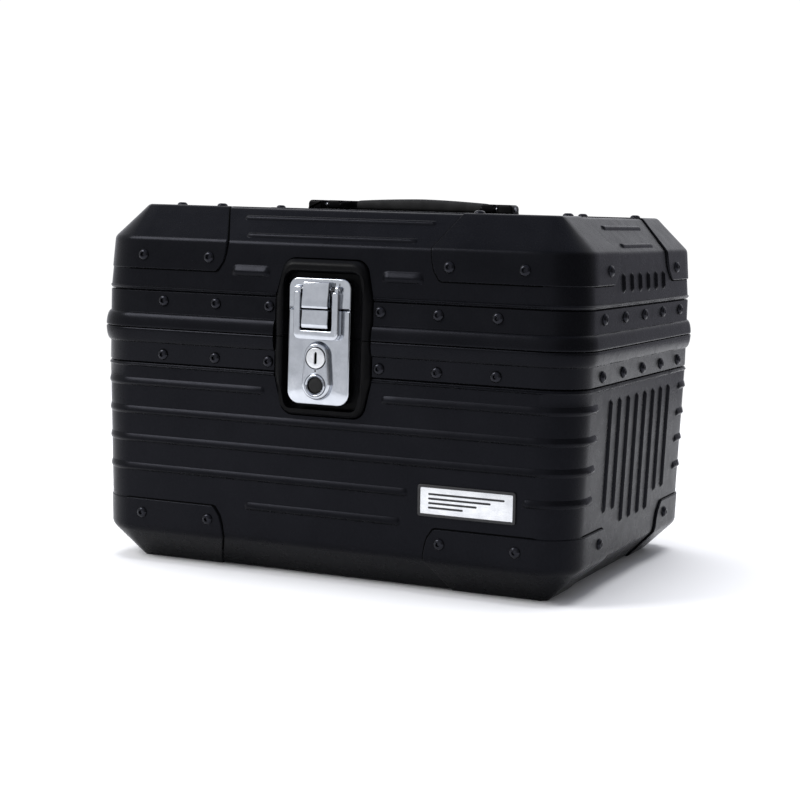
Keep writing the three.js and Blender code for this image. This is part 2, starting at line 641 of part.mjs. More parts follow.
/** A helix of round wire along X or Z, as one closed body. */
function coil(radius, wire, length, turns) {
  const points = [];
  const perTurn = 8;
  for (let i = 0; i <= turns * perTurn; i += 1) {
    const angle = (i / perTurn) * 2 * Math.PI;
    points.push(new THREE.Vector3(
      radius * Math.cos(angle), radius * Math.sin(angle), (i / (turns * perTurn)) * length));
  }
  const section = new THREE.Shape();
  section.absarc(0, 0, wire, 0, 2 * Math.PI);
  return new THREE.ExtrudeGeometry(section, {
    steps: turns * perTurn, curveSegments: 3, bevelEnabled: false,
    extrudePath: new THREE.CatmullRomCurve3(points),
  });
}

// ---------------------------------------------------------------- hinges and stays

/** One leaf of a hinge with its knuckles. side is -1 for the box and 1 for the lid. */
function hingeLeaf(x, side) {
  const y0 = HALF_DEPTH;
  const plate = 2;
  const near = PARTING_Z + side * (HINGE_KNUCKLE_RADIUS - 1.3);
  const far = PARTING_Z + side * 28;
  const step = PARTING_Z + side * (HINGE_KNUCKLE_RADIUS + 0.6);
  const leaf = block(x - HINGE_HALF_LENGTH, y0, Math.min(step, far), x + HINGE_HALF_LENGTH,
    y0 + plate, Math.max(step, far));
  const third = HINGE_HALF_LENGTH / 3;
  const spans = side < 0
    ? [[x - third, x + third]]
    : [[x - HINGE_HALF_LENGTH, x - third - GAP], [x + third + GAP, x + HINGE_HALF_LENGTH]];
  const knuckles = spans.map(([a, b]) => sum(
    rod('x', HINGE_KNUCKLE_RADIUS, a, b, HINGE_Y, PARTING_Z),
    block(a, y0, Math.min(near, step), b, HINGE_Y, Math.max(near, step)),
  ));
  return sum(leaf, ...knuckles)
    .subtract(rod('x', HINGE_PIN_RADIUS + GAP, x - 40, x + 40, HINGE_Y, PARTING_Z, 12));
}

const stayY = HINGE_Y - STAY_RADIUS * Math.cos(STAY_HALF_ANGLE);
const stayRise = STAY_RADIUS * Math.sin(STAY_HALF_ANGLE);
const stayClosed = 2 * stayRise;
const stayOpen = 2 * STAY_RADIUS * Math.sin(STAY_HALF_ANGLE + LID_OPEN / 2);

/** A slotted lid stay, hanging from the lid stud. */
function stayArm(sx) {
  const half = STAY_WIDTH / 2;
  const top = PARTING_Z + stayRise;
  const hole = STUD_RADIUS + STUD_CLEARANCE;
  const end = top - stayOpen;
  const outline = roundedRect(stayY - half, end - half, stayY + half, top + half, half - 0.05);
  const slot = roundedRect(
    stayY - hole, end - hole, stayY + hole, top - stayClosed + hole, hole - 0.01);
  const x = sx * STAY_X;
  const t = STAY_THICKNESS / 2;
  return cut(prismX(outline, x - t, x + t), prismX(slot, x - t - 1, x + t + 1),
    rod('x', hole, x - 5, x + 5, stayY, top, 20));
}

/** A shouldered stud on a side wall, with a head that keeps the stay on it. */
function stud(sx, z, wallX) {
  const inner = STAY_X - STAY_THICKNESS / 2 - GAP;
  const outer = STAY_X + STAY_THICKNESS / 2 + GAP;
  const span = (radius, a, b) => rod('x', radius, Math.min(sx * a, sx * b),
    Math.max(sx * a, sx * b), stayY, z, 20);
  return sum(span(STUD_RADIUS, inner - 1, wallX - 1), span(5, inner - 2, inner),
    span(6, outer, wallX));
}

// ---------------------------------------------------------------- handle

function handleBracket(sx) {
  const { width, depth, height } = HANDLE_BRACKET;
  const half = depth / 2;
  const x = sx * HANDLE_BRACKET_X;
  const z = LID_TOP_Z + GAP;
  const profile = polygon([-half, z], [half, z], [half, z + 3], [half - 6, z + height - 0.5],
    [-half + 6, z + height - 0.5], [-half, z + 3]);
  return prismX(profile, x - width / 2, x + width / 2)
    .subtract(rod('x', HANDLE_PIN_RADIUS + GAP, x - 20, x + 20, 0, HANDLE_AXIS_Z, 12));
}

/** The U-shaped grip that lies flat behind its pins. */
function handleGrip() {
  const w = HANDLE_HALF_SPAN;
  const inner = w - HANDLE_ARM;
  const hub = HANDLE_END_Z - HANDLE_AXIS_Z;
  const outline = new THREE.Shape();
  outline.moveTo(-w, -hub).lineTo(-inner, -hub).lineTo(-inner, HANDLE_REACH - HANDLE_BAR - 8);
  outline.quadraticCurveTo(-inner, HANDLE_REACH - HANDLE_BAR, -inner + 8, HANDLE_REACH - HANDLE_BAR);
  outline.lineTo(inner - 8, HANDLE_REACH - HANDLE_BAR);
  outline.quadraticCurveTo(inner, HANDLE_REACH - HANDLE_BAR, inner, HANDLE_REACH - HANDLE_BAR - 8);
  outline.lineTo(inner, -hub).lineTo(w, -hub).lineTo(w, HANDLE_REACH - 12);
  outline.quadraticCurveTo(w, HANDLE_REACH, w - 12, HANDLE_REACH).lineTo(-w + 12, HANDLE_REACH);
  outline.quadraticCurveTo(-w, HANDLE_REACH, -w, HANDLE_REACH - 12);
  const crown = new THREE.Shape();
  crown.moveTo(-w - 1, HANDLE_BOTTOM_Z).lineTo(w + 1, HANDLE_BOTTOM_Z).lineTo(w + 1, HANDLE_END_Z);
  crown.lineTo(48, HANDLE_END_Z).quadraticCurveTo(0, 2 * HANDLE_CROWN_Z - HANDLE_END_Z, -48, HANDLE_END_Z);
  crown.lineTo(-w - 1, HANDLE_END_Z);
  return prismZ(outline, HANDLE_BOTTOM_Z - 1, HANDLE_CROWN_Z + 1)
    .intersect(prismY(crown, -20, HANDLE_REACH + 5))
    .subtract(rod('x', HANDLE_PIN_RADIUS + GAP, -w - 1, -inner + 1, 0, HANDLE_AXIS_Z, 12))
    .subtract(rod('x', HANDLE_PIN_RADIUS + GAP, inner - 1, w + 1, 0, HANDLE_AXIS_Z, 12));
}

// ---------------------------------------------------------------- assembly

const topCase = new THREE.Group();
const box = new THREE.Group();
const lid = new THREE.Group();
topCase.add(box, lid);

place(box, 'box_shell', boxShell(), blackPanel);
place(box, 'box_rim_frame', rimFrame(-1, BOX_GAP_Z), blackFrame);
place(box, 'bezel_lower', bezel(PARTING_Z - BEZEL_HALF_HEIGHT, PARTING_Z - PARTING_HALF_GAP), blackPlastic);
place(box, 'latch_housing', latchHousing(), chrome);

place(lid, 'lid_shell', lidShell(), blackPanel);
place(lid, 'lid_rim_frame', rimFrame(1, LID_GAP_Z), blackFrame);
place(lid, 'bezel_upper', bezel(PARTING_Z + PARTING_HALF_GAP, PARTING_Z + BEZEL_HALF_HEIGHT), blackPlastic);
place(lid, 'strike_plate', strikePlate(), chrome);
place(lid, 'pivot_block', pivotBlock(), chrome);

for (const [end, sy] of ENDS) {
  for (const [hand, sx] of SIDES) {
    place(box, `box_protector_${end}_${hand}`, boxProtector(sx, sy), blackFrame);
    place(lid, `lid_protector_${end}_${hand}`, lidProtector(sx, sy), blackFrame);
  }
}

// Seal in the lid flange
place(lid, 'lid_seal', sealRing(0.2, PARTING_Z, PARTING_Z + SEAL_DEPTH), rubber);

// Lock: barrel, turning plug with its cam, button, ring and sprung catch
const lockCavityY = PLATE_Y + PLATE_THICKNESS;
const barrel = rod('y', 7.6, PAD_Y + 2.3, lockCavityY + 4.6, 0, LOCK_Z, 20)
  .subtract(rod('y', 5.8, PAD_Y, lockCavityY + 10, 0, LOCK_Z, 20));
place(box, 'lock_barrel', barrel, zinc);
const keyway = block(-0.9, PAD_Y - 2, LOCK_Z - 4.4, 0.9, PAD_Y + 7, LOCK_Z + 4.4);
const plug = sum(rod('y', LOCK_RADIUS - 0.4, PAD_Y - 0.3, PAD_Y + 2, 0, LOCK_Z, 24),
  rod('y', 5.5, PAD_Y + 1, lockCavityY + 5, 0, LOCK_Z, 20)).subtract(keyway);
const lockGroup = new THREE.Group();
const hasp = new THREE.Group();
topCase.add(lockGroup);
lid.add(hasp);
place(lockGroup, 'lock_plug', plug, chrome);
const cam = new THREE.Shape();
cam.absarc(0, 0, 4, Math.PI, 2 * Math.PI);
cam.lineTo(2.4, 9.5).lineTo(-2.4, 9.5);
const camMesh = place(lockGroup, 'lock_cam', prismY(cam, 0, 1.3), steel);
camMesh.position.set(0, lockCavityY + 5.3, LOCK_Z);

const ring = rod('y', BUTTON_RING_RADIUS - 0.3, PAD_Y - 0.9, PLATE_Y + 2, 0, BUTTON_Z, 24)
  .subtract(rod('y', BUTTON_RADIUS + 0.3, PAD_Y - 3, PLATE_Y + 4, 0, BUTTON_Z, 24));
place(box, 'button_ring', ring, chrome);
place(topCase, 'release_button', sum(
  rod('y', BUTTON_RADIUS, PAD_Y + 0.4, PAD_Y + 6, 0, BUTTON_Z, 20),
  rod('y', 3, PAD_Y + 5, lockCavityY + 3.6, 0, BUTTON_Z, 16),
), blackPlastic);

// Catch slide behind the lock: a plate guided by the housing walls, its finger under the hasp nose
const catchBack = PLATE_BACK_Y - 0.4;
const catchFront = catchBack - 1.5;
const guide = PLATE_HALF_WIDTH - 2 - 0.35;
place(topCase, 'catch_slide', sum(
  block(-guide, catchFront, 157, guide, catchBack, 203),
  block(-2.8, PLATE_Y + PLATE_THICKNESS + 0.4, 200.5, 2.8, catchBack, 204),
), steel);
const catchSpring = place(box, 'catch_spring', coil(1.6, 0.35, 7.6, 4), steel);
catchSpring.position.set(-12, catchBack - 2.6, 148.6);

// Hasp on its pin, with its torsion spring beside the pivot block
place(hasp, 'hasp_lever', haspLever(), chrome);
place(lid, 'hasp_pin', rod('x', HASP_PIN_RADIUS, -HASP_HALF_WIDTH, HASP_HALF_WIDTH,
  HASP_PIVOT_Y, HASP_PIVOT_Z, 12), steel);

const haspSpring = place(lid, 'hasp_spring', coil(2.6, 0.4, 1.1, 1), steel);
haspSpring.rotation.y = Math.PI / 2;
haspSpring.position.set(TONGUE_HALF_WIDTH + 0.55, HASP_PIVOT_Y, HASP_PIVOT_Z);

// Name plate on the front wall
const badgeY = FRONT_Y + boxWall(BADGE.z) - GAP - 0.3;
const badge = prismY(roundedRect(-BADGE.width / 2, -BADGE.height / 2, BADGE.width / 2,
  BADGE.height / 2, 1.5), -BADGE.thickness, 0);
const badgeMesh = place(box, 'badge', badge, silver);
badgeMesh.position.set(BADGE.x, badgeY, BADGE.z);
badgeMesh.rotation.x = Math.atan(BOX_CHAMFER_INSET / (BOX_GAP_Z - BOX_CHAMFER_Z));

// Hinges, stays and handle brackets, left and right
for (const [hand, sx] of SIDES) {
  const x = sx * HINGE_X;
  place(box, `hinge_leaf_box_${hand}`, hingeLeaf(x, -1), blackFrame);
  place(lid, `hinge_leaf_lid_${hand}`, hingeLeaf(x, 1), blackFrame);
  place(box, `hinge_pin_${hand}`, rod('x', HINGE_PIN_RADIUS, x - HINGE_HALF_LENGTH - 1,
    x + HINGE_HALF_LENGTH + 1, HINGE_Y, PARTING_Z, 12), steel);
  place(lid, `stay_${hand}`, stayArm(sx), steel);
  const innerWall = HALF_WIDTH - RIM_PLATE - GAP - SHEET - GAP;
  place(box, `stay_stud_box_${hand}`, stud(sx, PARTING_Z - stayRise, innerWall), zinc);
  place(lid, `stay_stud_lid_${hand}`, stud(sx, PARTING_Z + stayRise, innerWall), zinc);
  place(lid, `handle_bracket_${hand}`, handleBracket(sx), blackPlastic);
  place(lid, `handle_pin_${hand}`, rod('x', HANDLE_PIN_RADIUS,
    sx < 0 ? -98 : HANDLE_HALF_SPAN - HANDLE_ARM + 2, sx < 0 ? -HANDLE_HALF_SPAN + HANDLE_ARM - 2 : 98,
    0, HANDLE_AXIS_Z, 12), steel);
}
place(lid, 'handle_grip', handleGrip(), blackPlastic);

// Floor mat, base plate and its bolts
const floorInside = BOX_FLOOR_Z + SHEET;
const mat = prismZ(roundedRect(-178, -129, 178, 129, 6), floorInside + GAP,
  floorInside + GAP + MAT_THICKNESS);
const boltHoles = [];
for (const [hand, sx] of SIDES) {
  for (const [end, sy] of ENDS) {
    const x = sx * BASE_BOLT_X;
    const y = sy * BASE_BOLT_Y;
    boltHoles.push([x, y]);
    const bolt = sum(rod('z', BOLT_RADIUS, 0.4, floorInside + 1, x, y, 12),
      rod('z', BOLT_HEAD_RADIUS, floorInside + GAP, floorInside + GAP + 2, x, y, 16));
    place(box, `base_bolt_${end}_${hand}`, bolt, zinc);
  }
}
const matHoles = boltHoles.map(([x, y]) => rod('z', BOLT_HEAD_RADIUS + 0.5, 0, 20, x, y, 16));
place(box, 'floor_mat', cut(mat, ...matHoles), lining);
const basePlate = prismZ(roundedRect(-BASE_PLATE.width / 2, -BASE_PLATE.depth / 2,
  BASE_PLATE.width / 2, BASE_PLATE.depth / 2, BASE_PLATE.radius), 0, BOX_FLOOR_Z - GAP);
const plateHoles = boltHoles.map(([x, y]) => rod('z', BOLT_RADIUS + GAP, -1, 5, x, y, 12));
place(box, 'base_plate', cut(basePlate, ...plateHoles), steel);

export default topCase;
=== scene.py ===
"""Fine shapes and finishes of a motorcycle top case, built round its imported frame.

Sizes are in millimetres, in the frame's own axes: X to the right as seen from the lock, -Y out of
the lock side, +Z up. Every mesh is made in metres.
"""

import logging
import math
from collections.abc import Iterable, Sequence
from dataclasses import dataclass, field
from enum import Enum

import bmesh
import bpy
import numpy as np
from mathutils import Matrix, Vector


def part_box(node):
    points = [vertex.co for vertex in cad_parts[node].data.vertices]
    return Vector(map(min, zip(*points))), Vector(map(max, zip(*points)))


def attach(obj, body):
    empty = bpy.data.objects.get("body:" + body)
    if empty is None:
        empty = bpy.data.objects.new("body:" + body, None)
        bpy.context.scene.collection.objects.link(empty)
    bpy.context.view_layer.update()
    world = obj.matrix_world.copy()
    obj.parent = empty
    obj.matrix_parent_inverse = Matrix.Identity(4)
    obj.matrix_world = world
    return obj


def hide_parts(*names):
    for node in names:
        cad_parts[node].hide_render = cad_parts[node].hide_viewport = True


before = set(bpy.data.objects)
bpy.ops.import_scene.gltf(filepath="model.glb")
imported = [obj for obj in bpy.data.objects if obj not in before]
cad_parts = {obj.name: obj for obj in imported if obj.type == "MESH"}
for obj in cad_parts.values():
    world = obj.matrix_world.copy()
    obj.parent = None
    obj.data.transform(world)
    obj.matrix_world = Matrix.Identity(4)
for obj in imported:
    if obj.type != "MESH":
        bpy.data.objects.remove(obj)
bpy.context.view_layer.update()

LOG = logging.getLogger("top_case")
MM = 0.001

Point = tuple[float, float]
Loop = list[Point]
Place = tuple[Vector, Vector]
Triple = tuple[float, float, float]
Grid = list[list[Vector]]
Material = bpy.types.Material
Mesh = bpy.types.Mesh
Socket = bpy.types.NodeSocket


# -------- names


class Body(Enum):
    """The bodies that pieces ride on."""

    BOX = "box"
    LID = "lid"
    STAY_LEFT = "stay_left"
    STAY_RIGHT = "stay_right"
    HASP = "hasp"
    LOCK = "lock_cylinder"
    BUTTON = "button"
    HANDLE = "handle"


class Slot(Enum):
    """The record's material slots."""

    PANEL = "black_panel"
    FRAME = "black_frame"
    PLASTIC = "black_plastic"
    CHROME = "chrome"
    STEEL = "steel"
    ZINC = "zinc"
    RUBBER = "rubber"
    LINING = "lining"
    NAME_PLATE = "name_plate"


class Plane(Enum):
    """The plane that an outline is drawn in. Its depth runs towards the viewer."""

    FRONT = "front"
    REAR = "rear"
    TOP = "top"
    SIDE = "side"

    def matrix(self, origin: Sequence[float]) -> Matrix:
        """The turn from outline axes to row axes.

        Args:
            origin: where the outline's zero point lies.

        Returns:
            A 4 by 4 matrix in millimetres.
        """
        columns = {
            Plane.FRONT: ((1, 0, 0), (0, 0, 1), (0, -1, 0)),
            Plane.REAR: ((-1, 0, 0), (0, 0, 1), (0, 1, 0)),
            Plane.TOP: ((1, 0, 0), (0, 1, 0), (0, 0, 1)),
            Plane.SIDE: ((0, 1, 0), (0, 0, 1), (1, 0, 0)),
        }[self]
        turn = Matrix(columns).transposed().to_4x4()
        return Matrix.Translation(Vector(origin)) @ turn


# -------- finishes


class NodeSheet:
    """A material's node tree, filled one node at a time."""

    def __init__(self, name: str) -> None:
        """Starts the material with its shader.

        Args:
            name: the material's name.
        """
        self.material = bpy.data.materials.new(name)
        self.material.use_nodes = True
        self.tree = self.material.node_tree
        self.shader = self.tree.nodes["Principled BSDF"]
        self.place = self.add("ShaderNodeTexCoord").outputs["Object"]

    def add(self, kind: str, **values: object) -> bpy.types.Node:
        """Adds a node.

        Args:
            kind: the node's type.
            values: properties of the node, or values of its sockets.

        Returns:
            The node.
        """
        node = self.tree.nodes.new(kind)
        for key, value in values.items():
            socket = key.replace("_", " ").title() if key != "factor" else "Fac"
            if hasattr(node, key) and key != "color":
                setattr(node, key, value)
            else:
                node.inputs[socket].default_value = value
        return node

    def link(self, output: Socket, target: Socket) -> None:
        """Joins two sockets."""
        self.tree.links.new(output, target)

    def noise(self, size_mm: float, detail: float = 3.0, stretch: Sequence[float] = (1, 1, 1)) -> Socket:
        """Cloudy noise.

        Args:
            size_mm: the size of its blotches.
            detail: how fine its smallest part is.
            stretch: how much it is squeezed along each axis.

        Returns:
            The noise's value socket.
        """
        mapping = self.add("ShaderNodeMapping")
        mapping.inputs["Scale"].default_value = stretch
        texture = self.add("ShaderNodeTexNoise", scale=1 / (size_mm * MM), detail=detail)
        self.link(self.place, mapping.inputs["Vector"])
        self.link(mapping.outputs["Vector"], texture.inputs["Vector"])
        return texture.outputs["Fac"]

    def ramp(self, source: Socket, low: float, high: float,
             start: float = 0.3, end: float = 0.7) -> Socket:
        """Maps a value to a range.

        Args:
            source: the value's socket.
            low: the result at start.
            high: the result at end.
            start: the source value that gives low.
            end: the source value that gives high.

        Returns:
            The mapped value's socket.
        """
        node = self.add("ShaderNodeMapRange")
        for index, value in ((1, start), (2, end), (3, low), (4, high)):
            node.inputs[index].default_value = value
        self.link(source, node.inputs[0])
        return node.outputs[0]

    def tint(self, source: Socket, dark: Sequence[float], light: Sequence[float]) -> None:
        """Colours the shader between two colours.

        Args:
            source: where the colour lies between them.
            dark: the colour at 0.
            light: the colour at 1.
        """
        mix = self.add("ShaderNodeMix", data_type="RGBA")
        mix.inputs[6].default_value = (*dark, 1)
        mix.inputs[7].default_value = (*light, 1)
        self.link(source, mix.inputs[0])
        self.link(mix.outputs[2], self.shader.inputs["Base Color"])

    def bump(self, source: Socket, depth_mm: float, strength: float = 1.0) -> None:
        """Raises the surface by a value.

        Args:
            source: the height, from 0 to 1.
            depth_mm: the height that 1 stands for.
            strength: how much of it shows.
        """
        node = self.add("ShaderNodeBump")
        node.inputs["Distance"].default_value = depth_mm * MM
        node.inputs["Strength"].default_value = strength
        self.link(source, node.inputs["Height"])
        if self.shader.inputs["Normal"].is_linked:
            before = self.shader.inputs["Normal"].links[0].from_socket
            self.link(before, node.inputs["Normal"])
        self.link(node.outputs["Normal"], self.shader.inputs["Normal"])


@dataclass(frozen=True)
class PowderCoat:
    """Baked black coat with a fine orange-peel grain."""

    name: str
    dark: Triple
    light: Triple
    roughness: float
    specular: float
    grain: float = 0.55
    depth: float = 0.02
    sheen: Triple = (0.80, 0.82, 1.0)

    def build(self) -> Material:
        """Makes the material.

        Returns:
            The material.
        """
        sheet = NodeSheet(self.name)
        sheet.tint(sheet.ramp(sheet.noise(38, 4), 0, 1), self.dark, self.light)
        rough = sheet.ramp(sheet.noise(11, 5), self.roughness - 0.035, self.roughness + 0.035)
        sheet.link(rough, sheet.shader.inputs["Roughness"])
        sheet.shader.inputs["Specular IOR Level"].default_value = self.specular
        sheet.shader.inputs["Specular Tint"].default_value = (*self.sheen, 1)
        sheet.bump(sheet.noise(self.grain, 2), self.depth, 0.5)
        sheet.bump(sheet.noise(60, 1), 0.12, 0.35)
        return sheet.material


@dataclass(frozen=True)
class Plating:
    """Polished or brushed plating over metal."""

    name: str
    dark: Triple
    light: Triple
    roughness: float
    spread: float
    brush: Triple = (1, 1, 1)
    depth: float = 0.004

    def build(self) -> Material:
        """Makes the material.

        Returns:
            The material.
        """
        sheet = NodeSheet(self.name)
        sheet.tint(sheet.ramp(sheet.noise(9, 4), 0, 1), self.dark, self.light)
        streaks = sheet.noise(1.6, 4, self.brush)
        low, high = self.roughness - self.spread, self.roughness + self.spread
        sheet.link(sheet.ramp(streaks, low, high), sheet.shader.inputs["Roughness"])
        sheet.shader.inputs["Metallic"].default_value = 1.0
        sheet.bump(streaks, self.depth, 0.4)
        return sheet.material


@dataclass(frozen=True)
class Moulding:
    """Moulded plastic or rubber with a spark-eroded grain."""

    name: str
    dark: Triple
    light: Triple
    roughness: float
    specular: float
    grain: float = 0.8
    depth: float = 0.03

    def build(self) -> Material:
        """Makes the material.

        Returns:
            The material.
        """
        sheet = NodeSheet(self.name)
        sheet.tint(sheet.ramp(sheet.noise(14, 3), 0, 1), self.dark, self.light)
        rough = sheet.ramp(sheet.noise(5, 4), self.roughness - 0.05, self.roughness + 0.05)
        sheet.link(rough, sheet.shader.inputs["Roughness"])
        sheet.shader.inputs["Specular IOR Level"].default_value = self.specular
        texture = sheet.add("ShaderNodeTexVoronoi", scale=1 / (self.grain * MM))
        sheet.link(sheet.place, texture.inputs["Vector"])
        sheet.bump(texture.outputs["Distance"], self.depth, 0.5)
        return sheet.material


@dataclass(frozen=True)
class Felt:
    """Needled felt or foam cloth."""

    name: str
    dark: Triple
    light: Triple

    def build(self) -> Material:
        """Makes the material.

        Returns:
            The material.
        """
        sheet = NodeSheet(self.name)
        fibres = sheet.noise(0.9, 6, (1, 1.6, 1))
        sheet.tint(sheet.ramp(fibres, 0, 1), self.dark, self.light)
        sheet.link(sheet.ramp(sheet.noise(6, 3), 0.88, 1.0), sheet.shader.inputs["Roughness"])
        sheet.shader.inputs["Specular IOR Level"].default_value = 0.15
        sheet.shader.inputs["Sheen Weight"].default_value = 0.35
        sheet.bump(fibres, 0.25, 0.7)
        return sheet.material


class Finishes:
    """The object's finishes, each made once."""

    def __init__(self) -> None:
        """Makes every material."""
        self.panel = PowderCoat("panel coat", (0.0024, 0.0025, 0.0031), (0.0036, 0.0037, 0.0045),
                                0.28, 0.075).build()
        self.rim = PowderCoat("frame coat", (0.0022, 0.0023, 0.0028), (0.0034, 0.0035, 0.0042),
                              0.27, 0.075).build()
        self.screw = PowderCoat("screw black", (0.002, 0.002, 0.0025), (0.004, 0.004, 0.0045), 0.22,
                                0.22, 0.3).build()
        self.plastic = Moulding("black plastic", (0.0014, 0.0014, 0.0017), (0.0024, 0.0024, 0.0028),
                                0.38, 0.06).build()
        self.rubber = Moulding("rubber", (0.006, 0.006, 0.006), (0.011, 0.011, 0.011), 0.75, 0.25,
                               1.2, 0.05).build()
        self.chrome = Plating("satin chrome", (0.42, 0.44, 0.475), (0.49, 0.51, 0.545), 0.13, 0.03).build()
        self.steel = Plating("steel", (0.36, 0.37, 0.39), (0.50, 0.51, 0.52), 0.32, 0.08, (1, 1, 6)).build()
        self.spring = Plating("spring wire", (0.06, 0.06, 0.065), (0.12, 0.12, 0.125), 0.30, 0.06).build()
        self.zinc = Plating("zinc", (0.44, 0.45, 0.47), (0.60, 0.61, 0.62), 0.36, 0.07).build()
        self.silver = Plating("brushed plate", (0.56, 0.57, 0.59), (0.68, 0.69, 0.70), 0.30, 0.06,
                              (0.25, 1, 8)).build()
        # Near-black finish with almost no reflection: painted shade, put on thin sheets and fills where dark
        # gaps, creases and recesses show.
        self.shade_black = Moulding("shade_black", (0.0004, 0.0004, 0.0004), (0.0009, 0.0009, 0.0009),
                               0.9, 0.02).build()
        self.ink = Moulding("dark print", (0.006, 0.006, 0.007), (0.010, 0.010, 0.011), 0.45, 0.4,
                            0.3, 0.004).build()
        self.felt = Felt("felt", (0.010, 0.011, 0.013), (0.034, 0.035, 0.039)).build()


# -------- mesh making


@dataclass
class Shape:
    """A mesh being made, in millimetres."""

    points: list[Vector] = field(default_factory=list)
    faces: list[tuple[int, ...]] = field(default_factory=list)

    def loft(self, loops: Sequence[Sequence[Sequence[float]]], start: bool = True,
             end: bool = True) -> "Shape":
        """Joins closed loops of equal length, each seen counter-clockwise from where the loft ends.

        Args:
            loops: the loops, from the back to the front.
            start: whether the first loop is closed by a face.
            end: whether the last loop is closed by a face.

        Returns:
            This shape.
        """
        base, count = len(self.points), len(loops[0])
        for loop in loops:
            self.points.extend(Vector(p) for p in loop)
        for row in range(len(loops) - 1):
            a, b = base + row * count, base + (row + 1) * count
            for i in range(count):
                j = (i + 1) % count
                self.faces.append((a + i, a + j, b + j, b + i))
        if start:
            self.faces.append(tuple(base + i for i in reversed(range(count))))
        if end:
            last = base + (len(loops) - 1) * count
            self.faces.append(tuple(last + i for i in range(count)))
        return self

    def cap_with_holes(self, outer: Sequence[Vector], holes: Sequence[Sequence[Vector]],
                       facing: Vector) -> None:
        """Adds a flat face that has holes.

        Args:
            outer: the face's outline.
            holes: the outlines of its holes.
            facing: the way that the face looks.
        """
        work = bmesh.new()
        edges = []
        for loop in (outer, *holes):
            verts = [work.verts.new(p) for p in loop]
            edges += [work.edges.new((v, verts[(i + 1) % len(verts)])) for i, v in enumerate(verts)]
        bmesh.ops.triangle_fill(work, use_beauty=True, use_dissolve=False, edges=edges)
        work.verts.index_update()
        base = len(self.points)
        self.points.extend(v.co.copy() for v in work.verts)
        for f in work.faces:
            f.normal_update()
            order = [v.index for v in f.verts]
            if f.normal.dot(facing) < 0:
                order.reverse()
            self.faces.append(tuple(base + i for i in order))
        work.free()

    def moved(self, matrix: Matrix) -> "Shape":
        """The shape carried by a matrix."""
        return Shape([matrix @ p for p in self.points], list(self.faces))

    def add(self, other: "Shape") -> "Shape":
        """Takes in another shape as a separate body.

        Args:
            other: the shape to take in.

        Returns:
            This shape.
        """
        base = len(self.points)
        self.points.extend(other.points)
        self.faces.extend(tuple(base + i for i in f) for f in other.faces)
        return self

    def mesh(self, name: str) -> Mesh:
        """The mesh of the shape, in metres.

        Args:
            name: the mesh's name.

        Returns:
            The mesh.
        """
        made = bpy.data.meshes.new(name)
        made.from_pydata([p * MM for p in self.points], [], self.faces)
        work = bmesh.new()
        work.from_mesh(made)
        bmesh.ops.remove_doubles(work, verts=work.verts, dist=2e-6)
        bmesh.ops.dissolve_degenerate(work, edges=work.edges, dist=1e-6)
        work.to_mesh(made)
        work.free()
        return made


def offset(loop: Loop, inset: float) -> Loop:
    """A loop drawn inwards by the same distance all round.

    Args:
        loop: counter-clockwise points.
        inset: how far inwards; outwards if negative.

    Returns:
        The new loop, point for point.
    """
    if not inset:
        return list(loop)
    p = np.array(loop)
    before, after = p - np.roll(p, 1, 0), np.roll(p, -1, 0) - p
    before /= np.linalg.norm(before, axis=1)[:, None]
    after /= np.linalg.norm(after, axis=1)[:, None]
    n1 = np.stack([-before[:, 1], before[:, 0]], 1)
    n2 = np.stack([-after[:, 1], after[:, 0]], 1)
    miter = (n1 + n2) / np.maximum(1 + (n1 * n2).sum(1), 0.2)[:, None]
    return [tuple(q) for q in p + miter * inset]


def fillet(corners: Sequence[Triple], closed: bool = True, step: float = 12) -> Loop:
    """A path through corners, each rounded.

    Args:
        corners: points with the radius of their rounding.
        closed: whether the path closes on itself.
        step: degrees between the points of an arc.

    Returns:
        The path's points.
    """
    made: Loop = []
    count = len(corners)
    for i, (x, y, r) in enumerate(corners):
        if r <= 0 or (not closed and i in (0, count - 1)):
            made.append((x, y))
            continue
        here = Vector((x, y))
        a = (Vector(corners[i - 1][:2]) - here).normalized()
        b = (Vector(corners[(i + 1) % count][:2]) - here).normalized()
        half = a.angle(b) / 2
        centre = here + (a + b).normalized() * (r / math.sin(half))
        start = here + a * (r / math.tan(half)) - centre
        sweep = start.angle_signed(here + b * (r / math.tan(half)) - centre)
        turns = max(2, math.ceil(abs(math.degrees(sweep)) / step))
        for k in range(turns + 1):
            angle = -sweep * k / turns
            c, s = math.cos(angle), math.sin(angle)
            made.append((centre.x + start.x * c - start.y * s, centre.y + start.x * s + start.y * c))
    return made


def box_loop(u0: float, v0: float, u1: float, v1: float, r: float) -> Loop:
    """A rectangle with round corners, counter-clockwise."""
    return fillet([(u0, v0, r), (u1, v0, r), (u1, v1, r), (u0, v1, r)])


def circle(r: float, steps: int = 40, u: float = 0, v: float = 0) -> Loop:
    """A circle, counter-clockwise."""
    return [(u + r * math.cos(2 * math.pi * i / steps), v + r * math.sin(2 * math.pi * i / steps))
            for i in range(steps)]


